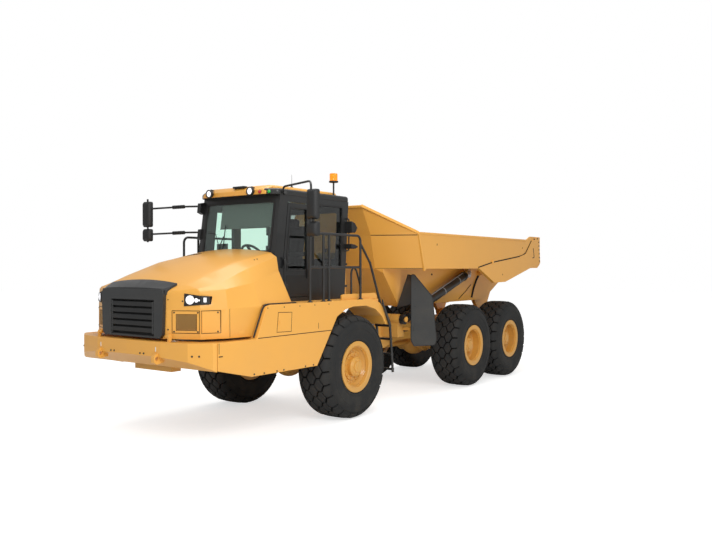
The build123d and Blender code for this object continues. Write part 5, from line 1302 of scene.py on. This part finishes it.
def buildHitchHoses():
    front, rear, clamps, block, fittings = newMeshes(5)
    radius = hoseSet["radius"]
    for y in hoseSet["across"]:
        addTube(front, [at(x, y * share, z) for x, share, z in hoseSet["front"]], radius, 0.10)
        addTube(rear, [at(x, y * share, z) for x, share, z in hoseSet["rear"]], radius * 0.9, 0.09)
        for bm, spot in ((block, at(-1.545, y, 1.30)), (fittings, at(-1.965, y * 1.25, 1.268))):
            addLathe(bm, hoseSet["nut"], spot, (0, 0, 1), 6)
    for bm, outline, half in ((block, rect(-1.588, -1.502, 1.296, 1.312), 0.26),
                              (fittings, rect(-2.045, -1.953, 1.264, 1.280), 0.31),
                              (clamps, rect(-0.835, -0.765, 1.22, 1.28), 0.27)):
        addPrism(bm, outline, -half, half, "y")
    for y in (-0.27, 0.27):
        addBox(clamps, (-0.80, y, 1.12), (0.05, 0.02, 0.26))
    layBlend(front, "hitchHosesFront")
    layBlend(rear, "hitchHosesRear")
    makePiece(clamps, "hoseClamps", "front_frame", "blackPaint", bevel=0.003)
    makePiece(block, "hoseBlock", "hitch", "castGrey", bevel=0.002)
    makePiece(fittings, "hoseFittings", "rear_frame", "castGrey", bevel=0.002)
    print("hitch hoses made")


# Running gear: bolt rings on the differentials, pin caps, flap edges and tail lamps

gearSet = {
    "axles": [("front_axle", 0, 0.0), ("rear_axles", 1, -3.92), ("rear_axles", 1, -5.62)],
    "ring": 0.185, "ringBolts": 12,
    "caps": [(-4.77, 0.655, 0.93, 0.070), (-5.95, 0.580, 1.30, 0.050)],  # beam shaft and tipping pin, with size
    "footCap": [(-0.004, 0.050), (0.010, 0.050), (0.013, 0.045), (0.013, 0.001)],
    # Outer leaf of a flap: metres along it, height. It starts at the root and turns out by the sweep
    "leaf": [(0.06, 0.91), (0, 1.0), (0, 2.19), (0.06, 2.2), (0.42, 1.79), (0.5, 1.0), (0.46, 0.91)],
    "leafRoot": (-2.186, 1.011), "sweep": (0.45, 0.33),
    "lobe": [(0.700, 1.590), (1.006, 1.660), (1.006, 2.190), (0.930, 2.190)], "flapEdge": 0.0095,
    "flapBolts": [(1.045, 1.192, 0.010), (1.045, 1.228, 0.010), (1.06, 1.30, 0.008), (1.06, 1.62, 0.008),
                  (1.06, 1.94, 0.008)],
    "lampX": -6.2405, "lampY": (0.265, 0.415), "lampZ": (1.015, 1.105),
}


def buildAxleTrim():
    frontBolts, rearBolts = targets = newMeshes(2)
    for node, target, x in gearSet["axles"]:
        for a in turns(gearSet["ringBolts"], 0.5):
            start = at(x - 0.7, gearSet["ring"] * math.cos(a), 0.8 + gearSet["ring"] * math.sin(a))
            addBolt(targets[target], *onSkin(node, start, (1, 0, 0)), 0.012)
    for side in (1, -1):
        out = (0, side, 0)
        for x, y, z, size in gearSet["caps"]:
            addLathe(rearBolts, [(-0.003, size + 0.018), (0.012, size + 0.018), (0.016, size + 0.012),
                                 (0.016, size * 0.5), (0.010, size * 0.45), (0.010, 0.001)],
                     at(x, side * y, z), out, 28)
            addBoltRing(rearBolts, at(x, side * (y + 0.014), z), out, (1, 0, 0), (0, 0, 1), size * 0.85, 4, 0.008,
                        0.5)
        addLathe(rearBolts, gearSet["footCap"], at(-2.10, side * 0.960, 1.39), out, 28)
    makePiece(frontBolts, "frontAxleBolts", "front_frame", "frameYellow", smooth=40)
    makePiece(rearBolts, "rearAxleBolts", "rear_frame", "frameYellow", smooth=40)


def buildFlapTrim():
    # Rolled edges of the wheel flaps and the bolts that hold them to their arms
    edges, bolts = newMeshes(2)
    (rootX, rootY), (back, out) = gearSet["leafRoot"], gearSet["sweep"]
    length, radius = math.hypot(back, out), gearSet["flapEdge"]
    for side in (1, -1):
        outline = mirrored([(rootX - s * back / length, rootY + s * out / length, z) for s, z in gearSet["leaf"]],
                           side)
        addTube(edges, outline + [outline[0]], radius, 0.05, 8)
        addTube(edges, mirrored([(-2.197, y, z) for y, z in gearSet["lobe"]], side), radius, 0.04, 8)
        for y, z, size in gearSet["flapBolts"]:
            addBolt(bolts, *onSkin("wheel_flaps", at(-2.0, side * y, z), (-1, 0, 0)), size)
    makePiece(edges, "flapEdges", "rear_frame", "hoseRubber", smooth=50)
    makePiece(bolts, "flapBolts", "rear_frame", "blackPaint")


def buildTailLamps():
    # Frame, pale reversing lens and a ribbed red lens
    frames, lenses, ribs = newMeshes(3)
    x, (y0, y1), (z0, z1) = (gearSet[key] for key in ("lampX", "lampY", "lampZ"))
    for side in (1, -1):
        def plate(left, right, low, high):
            return mirrored([(x, y, z) for y, z in rect(y0 + left, y1 + right, z0 + low, z1 + high)], side)
        addSlab(frames, plate(-0.012, 0.012, -0.012, 0.012), (-1, 0, 0), -0.03, 0.008,
                plate(0.006, -0.006, 0.006, -0.006))
        addSlab(lenses, plate(0.012, -0.100, 0.012, -0.012), (-1, 0, 0), -0.001, 0.006)
        for k in range(6):
            rise = 0.015 + 0.0115 * k
            addSlab(ribs, plate(0.058, -0.012, rise, rise - 0.083), (-1, 0, 0), -0.001, 0.005)
    makePiece(frames, "tailLampFrames", "rear_frame", "blackPlastic", bevel=0.002)
    makePiece(lenses, "reverseLenses", "rear_frame", "lampLens", bevel=0.002)
    makePiece(ribs, "tailLampRibs", "rear_frame", "redLens", bevel=0.0015)


def buildRunningGear():
    buildAxleTrim()
    buildFlapTrim()
    buildTailLamps()
    print("running gear made")


# Deck and ladder: tread studs, toe boards, rail feet, step teeth, the black side seal in the hood gap as painted
# shade, and tank cap

deckSet = {
    "top": 1.82, "studRows": 5, "studPitch": 0.075, "deckX": (-0.62, 1.24), "deckY": (0.86, 1.24),
    "studRadius": 0.013, "posts": (-0.17, 0.63, 0.76, 1.07), "postY": 1.327,
    "toeBoard": [(0.25, 1.821), (0.25, 1.905), (0.20, 1.918), (-0.645, 1.918), (-0.690, 1.870), (-0.690, 1.821)],
    "flange": [(1.305, 1.827), (1.90, 1.827), (1.972, 1.809), (2.011, 1.768), (2.176, 1.402), (2.196, 1.390)],
    "shelf": [(2.19, 1.3045), (2.884, 1.3045), (2.884, 0.93), (2.60, 1.07), (2.19, 1.10)],
    # Route of the black seal in the hood gap, painted shade, and its distance out
    "seal": [(2.183, 1.412), (2.019, 1.772), (1.980, 1.818), (1.90, 1.836), (1.33, 1.836)], "sealY": 1.285,
    "hoop": [(-0.10, 1.20, 1.82), (-0.10, 1.20, 2.26), (-0.16, 1.20, 2.34), (-0.24, 1.20, 2.28),
             (-0.30, 1.22, 2.08), (-0.33, 1.24, 1.82)],
    "steps": [(-1.008, 0.665), (-0.982, 0.915), (-0.955, 1.165), (-0.925, 1.385)],
    "ladderBolts": [(-0.715, 1.79), (-0.742, 1.735)],
    "tankCap": [(-0.002, 0.052), (0.016, 0.052), (0.020, 0.047), (0.020, 0.018), (0.034, 0.016), (0.036, 0.001)],
    "breather": [(-0.002, 0.018), (0.04, 0.018), (0.045, 0.024), (0.062, 0.024), (0.066, 0.018)],
    "strap": [(-0.680, 0.165), (-0.680, 0.675), (-0.655, 0.702), (-0.545, 0.702), (-0.520, 0.675),
              (-0.520, 0.165), (-0.545, 0.138), (-0.655, 0.138)],
}


def addDeckSide(studs, boards, feet, gapShadeSeals, side):
    (x0, x1), (y0, y1), top = deckSet["deckX"], deckSet["deckY"], deckSet["top"]
    rows, pitch, radius, postY = (deckSet[key] for key in ("studRows", "studPitch", "studRadius", "postY"))
    for i in range(int((x1 - x0) / pitch)):
        for j in range(rows):
            y = y0 + (y1 - y0) * (j + (0.25 if i % 2 else 0.75)) / rows
            addLathe(studs, [(-0.001, radius), (0.004, radius * 0.6)], at(x0 + pitch * (i + 0.5), side * y, top),
                     (0, 0, 1), 8)
    # Toe board along the rear of the deck, behind the rail
    addPrism(boards, deckSet["toeBoard"], side * 1.255, side * 1.285, "y")
    for x in deckSet["posts"]:
        addBox(feet, (x, side * postY, top + 0.015), (0.085, 0.043, 0.010))
        for step in (-0.031, 0.031):
            addBolt(feet, at(x + step, side * postY, top + 0.020), (0, 0, 1), 0.007)
        addLathe(feet, [(0.0, 0.024), (0.012, 0.0225), (0.016, 0.019)], at(x, side * postY, top + 0.019), (0, 0, 1),
                 20)
    addTube(feet, mirrored(deckSet["hoop"], side), 0.016)
    # Black rubber seal in the gap between hood and fender, closing it: painted shade of the gap
    addTube(gapShadeSeals, mirrored([(x, deckSet["sealY"], z) for x, z in deckSet["seal"]], side), 0.0115, 0.02)
    # Inner flange of the fender under the hood's edge, and the shelf round the nose corner
    under = [(x - 0.006, z - 0.007) for x, z in reversed(deckSet["flange"])]
    addPrism(boards, deckSet["flange"] + under, side * 1.125, side * 1.3045, "y")
    addPrism(boards, [(x, side * y) for x, y in deckSet["shelf"]], 1.380, 1.3905, "z")


def buildDeck():
    studs, boards, feet, teeth, gapShadeSeals, fittings = newMeshes(6)
    for side in (1, -1):
        addDeckSide(studs, boards, feet, gapShadeSeals, side)
    for x, z in deckSet["steps"]:
        for i in range(3):
            for j in range(9):
                addLathe(teeth, [(-0.001, 0.006), (0.005, 0.0035)], at(x - 0.022 + 0.022 * i, 1.138 + 0.028 * j, z),
                         (0, 0, 1), 6)
    for x, z in deckSet["ladderBolts"]:
        for y, out in ((1.119, -1), (1.381, 1)):
            addBolt(teeth, at(x, y, z), (0, out, 0), 0.009)
    # Tank cap, breather and straps
    addLathe(fittings, deckSet["tankCap"], at(-0.60, 0.60, 2.58), (0, 0, 1), 24)
    addLathe(fittings, deckSet["breather"], at(-0.60, 0.30, 2.58), (0, 0, 1), 18)
    for z in (2.02, 2.38):
        ring = [at(x, y, z) for x, y in deckSet["strap"]]
        grown = [p + (p - at(-0.60, 0.42, z)).normalized() * 0.008 for p in ring]
        addSlab(fittings, grown, (0, 0, 1), -0.018, 0.018, ring)
    makePiece(studs, "deckStuds", "front_frame", "yellow", smooth=30)
    makePiece(boards, "toeBoards", "front_frame", "yellow", bevel=0.004)
    makePiece(feet, "railFeet", "front_frame", "blackPaint", smooth=40)
    makePiece(teeth, "stepTeeth", "front_frame", "blackPaint")
    makePiece(gapShadeSeals, "hoodGapShadeSeals", "front_frame", "hoseRubber", smooth=50)
    makePiece(fittings, "tankFittings", "front_frame", "blackPaint", smooth=40)
    print("deck trim made")


# Wedge shaped housings on the rear corners of the cab: a work lamp and a smaller marker below it

housingSet = {
    "places": [(-0.475, 2.985, 0.150, 0.190), (-0.465, 2.672, 0.190, 0.080)],  # front, middle height, length, height
    # Side outline as shares of the length and height
    "outline": [(0, 0.5), (0.55, 0.35), (1, -0.02), (0.93, -0.18), (0.62, -0.48), (0, -0.5)],
    "lens": [(0.965, 0.795, -0.06), (0.965, 0.925, -0.06), (0.66, 0.925, -0.43), (0.66, 0.795, -0.43)],
    "stalk": [(-0.50, 0.80, 3.12), (-0.50, 0.86, 3.12), (-0.50, 0.86, 2.60), (-0.46, 0.80, 2.60)],
}


def buildRearHousings():
    shells, lenses, stalks = newMeshes(3)
    for side in (1, -1):
        for x, z, long, tall in housingSet["places"]:
            addPrism(shells, [(x - long * a, z + tall * b) for a, b in housingSet["outline"]], side * 0.775,
                     side * 0.945, "y")
            lens = [(x - long * a, y, z + tall * b) for a, y, b in housingSet["lens"]]
            addSlab(lenses, mirrored(lens, side), (-0.75, 0, -0.66), 0.0, 0.006)
        addTube(stalks, mirrored(housingSet["stalk"], side), 0.012, 0.03)
    makePiece(shells, "rearHousings", "front_frame", "blackPlastic", bevel=0.010)
    makePiece(lenses, "rearHousingLenses", "front_frame", "lampLens", bevel=0.002)
    makePiece(stalks, "rearHousingStalks", "front_frame", "blackPaint", smooth=50)
    print("rear housings made")


# Floor, light and camera

stageSet = {
    "floorColour": (0.80, 0.80, 0.79), "floorHalf": 60.0, "floorLift": 0.60, "worldLight": 0.54,
    # Place and target in metres ahead of the front axle, left and up, then size and power
    "lights": {"keyLight": ((7.5, 8.5, 7.5), (1.5, 0, 1.4), 4.5, 560),
               "fillLight": ((2, 13, 5), (-2, 0, 1.4), 7.0, 200), "topLight": ((-2, 0, 11), (-2, 0, 1.0), 8.0, 520)},
    "cameraPlace": (9.3635, 8.1220, 2.3377), "yaw": 3.76523, "pitch": -0.00535, "roll": -0.00027,
    "focalPixels": 750.09, "centrePixel": (357.11, 270.81), "photoSize": (712, 534), "sensor": 36.0,
}


def addSeen(tree):
    # 1 for what the camera sees itself or through glass
    path = addNode(tree, "LightPath", {}).outputs
    return addNode(tree, "Math", {0: path["Is Camera Ray"], 1: path["Is Transmission Ray"]},
                   operation="MAXIMUM").outputs[0]


def buildFloor():
    # Pale floor, lifted to white for the camera so that only the shadow stays
    half = stageSet["floorHalf"]
    bm = bmesh.new()
    bm.faces.new(addLoop(bm, [(x, y, 0) for x, y in rect(-half, half, -half, half)]))
    mesh = bpy.data.meshes.new("studioFloor")
    bm.to_mesh(mesh)
    bm.free()
    floor = bpy.data.objects.new("studioFloor", mesh)
    bpy.context.scene.collection.objects.link(floor)
    material = bpy.data.materials.new("paleFloor")
    material.use_nodes = True
    tree = material.node_tree
    shader = tree.nodes["Principled BSDF"].inputs
    shader["Base Color"].default_value = (*stageSet["floorColour"], 1)
    shader["Roughness"].default_value = 0.9
    shader["Emission Color"].default_value = (1, 1, 1, 1)
    lift = addNode(tree, "Math", {0: addSeen(tree), 1: stageSet["floorLift"]}, operation="MULTIPLY")
    tree.links.new(lift.outputs[0], shader["Emission Strength"])
    mesh.materials.append(material)


def buildWorld():
    # White backdrop for the camera and through glass, plain light for the rest
    world = bpy.data.worlds.new("studioWorld")
    bpy.context.scene.world = world
    world.use_nodes = True
    tree = world.node_tree
    tree.nodes.clear()
    light, backdrop = (addNode(tree, "Background", {"Color": (1, 1, 1, 1), "Strength": strength}).outputs[0]
                       for strength in (stageSet["worldLight"], 1.0))
    mix = addNode(tree, "MixShader", {0: addSeen(tree), 1: light, 2: backdrop})
    addNode(tree, "OutputWorld", {0: mix.outputs[0]})
    for name, (place, target, size, power) in stageSet["lights"].items():
        data = bpy.data.lights.new(name, "AREA")
        data.shape = "DISK"
        data.size = size
        data.energy = power
        lamp = bpy.data.objects.new(name, data)
        lamp.location = at(*place)
        lamp.rotation_euler = (at(*target) - at(*place)).to_track_quat("-Z", "Y").to_euler()
        bpy.context.scene.collection.objects.link(lamp)


def buildCamera():
    scene = bpy.context.scene
    width, height = stageSet["photoSize"]
    centreU, centreV = stageSet["centrePixel"]
    data = bpy.data.cameras.new("photoCamera")
    data.sensor_fit = "HORIZONTAL"
    data.sensor_width = stageSet["sensor"]
    data.lens = stageSet["focalPixels"] * stageSet["sensor"] / width
    data.shift_x = (width / 2 - centreU) / width
    data.shift_y = (centreV - height / 2) / width
    data.clip_end = 400
    camera = bpy.data.objects.new("photoCamera", data)
    yaw, pitch, roll = stageSet["yaw"], stageSet["pitch"], stageSet["roll"]
    forward = Vector((math.cos(pitch) * math.cos(yaw), math.cos(pitch) * math.sin(yaw), math.sin(pitch)))
    right = Vector((math.sin(yaw), -math.cos(yaw), 0))
    up = right.cross(forward)
    right, up = right * math.cos(roll) + up * math.sin(roll), up * math.cos(roll) - right * math.sin(roll)
    turned = Matrix((right, up, -forward)).transposed().to_4x4()
    camera.matrix_world = Matrix.Translation(at(*stageSet["cameraPlace"])) @ turned
    scene.collection.objects.link(camera)
    scene.camera = camera
    scene.view_settings.view_transform = "Standard"


def buildStage():
    buildFloor()
    buildWorld()
    buildCamera()
    print("stage made")


dressNodes()
roundNodes()
buildTyres()
buildWheelTrim()
buildNose()
buildLamps()
buildBumperTrim()
buildFenderTrim()
buildCab()
buildWorkPlace()
buildRoof()
buildMirrors()
buildBody()
buildCylinders()
buildHitchHoses()
buildRunningGear()
buildDeck()
buildRearHousings()
buildStage()

print("all pieces made")
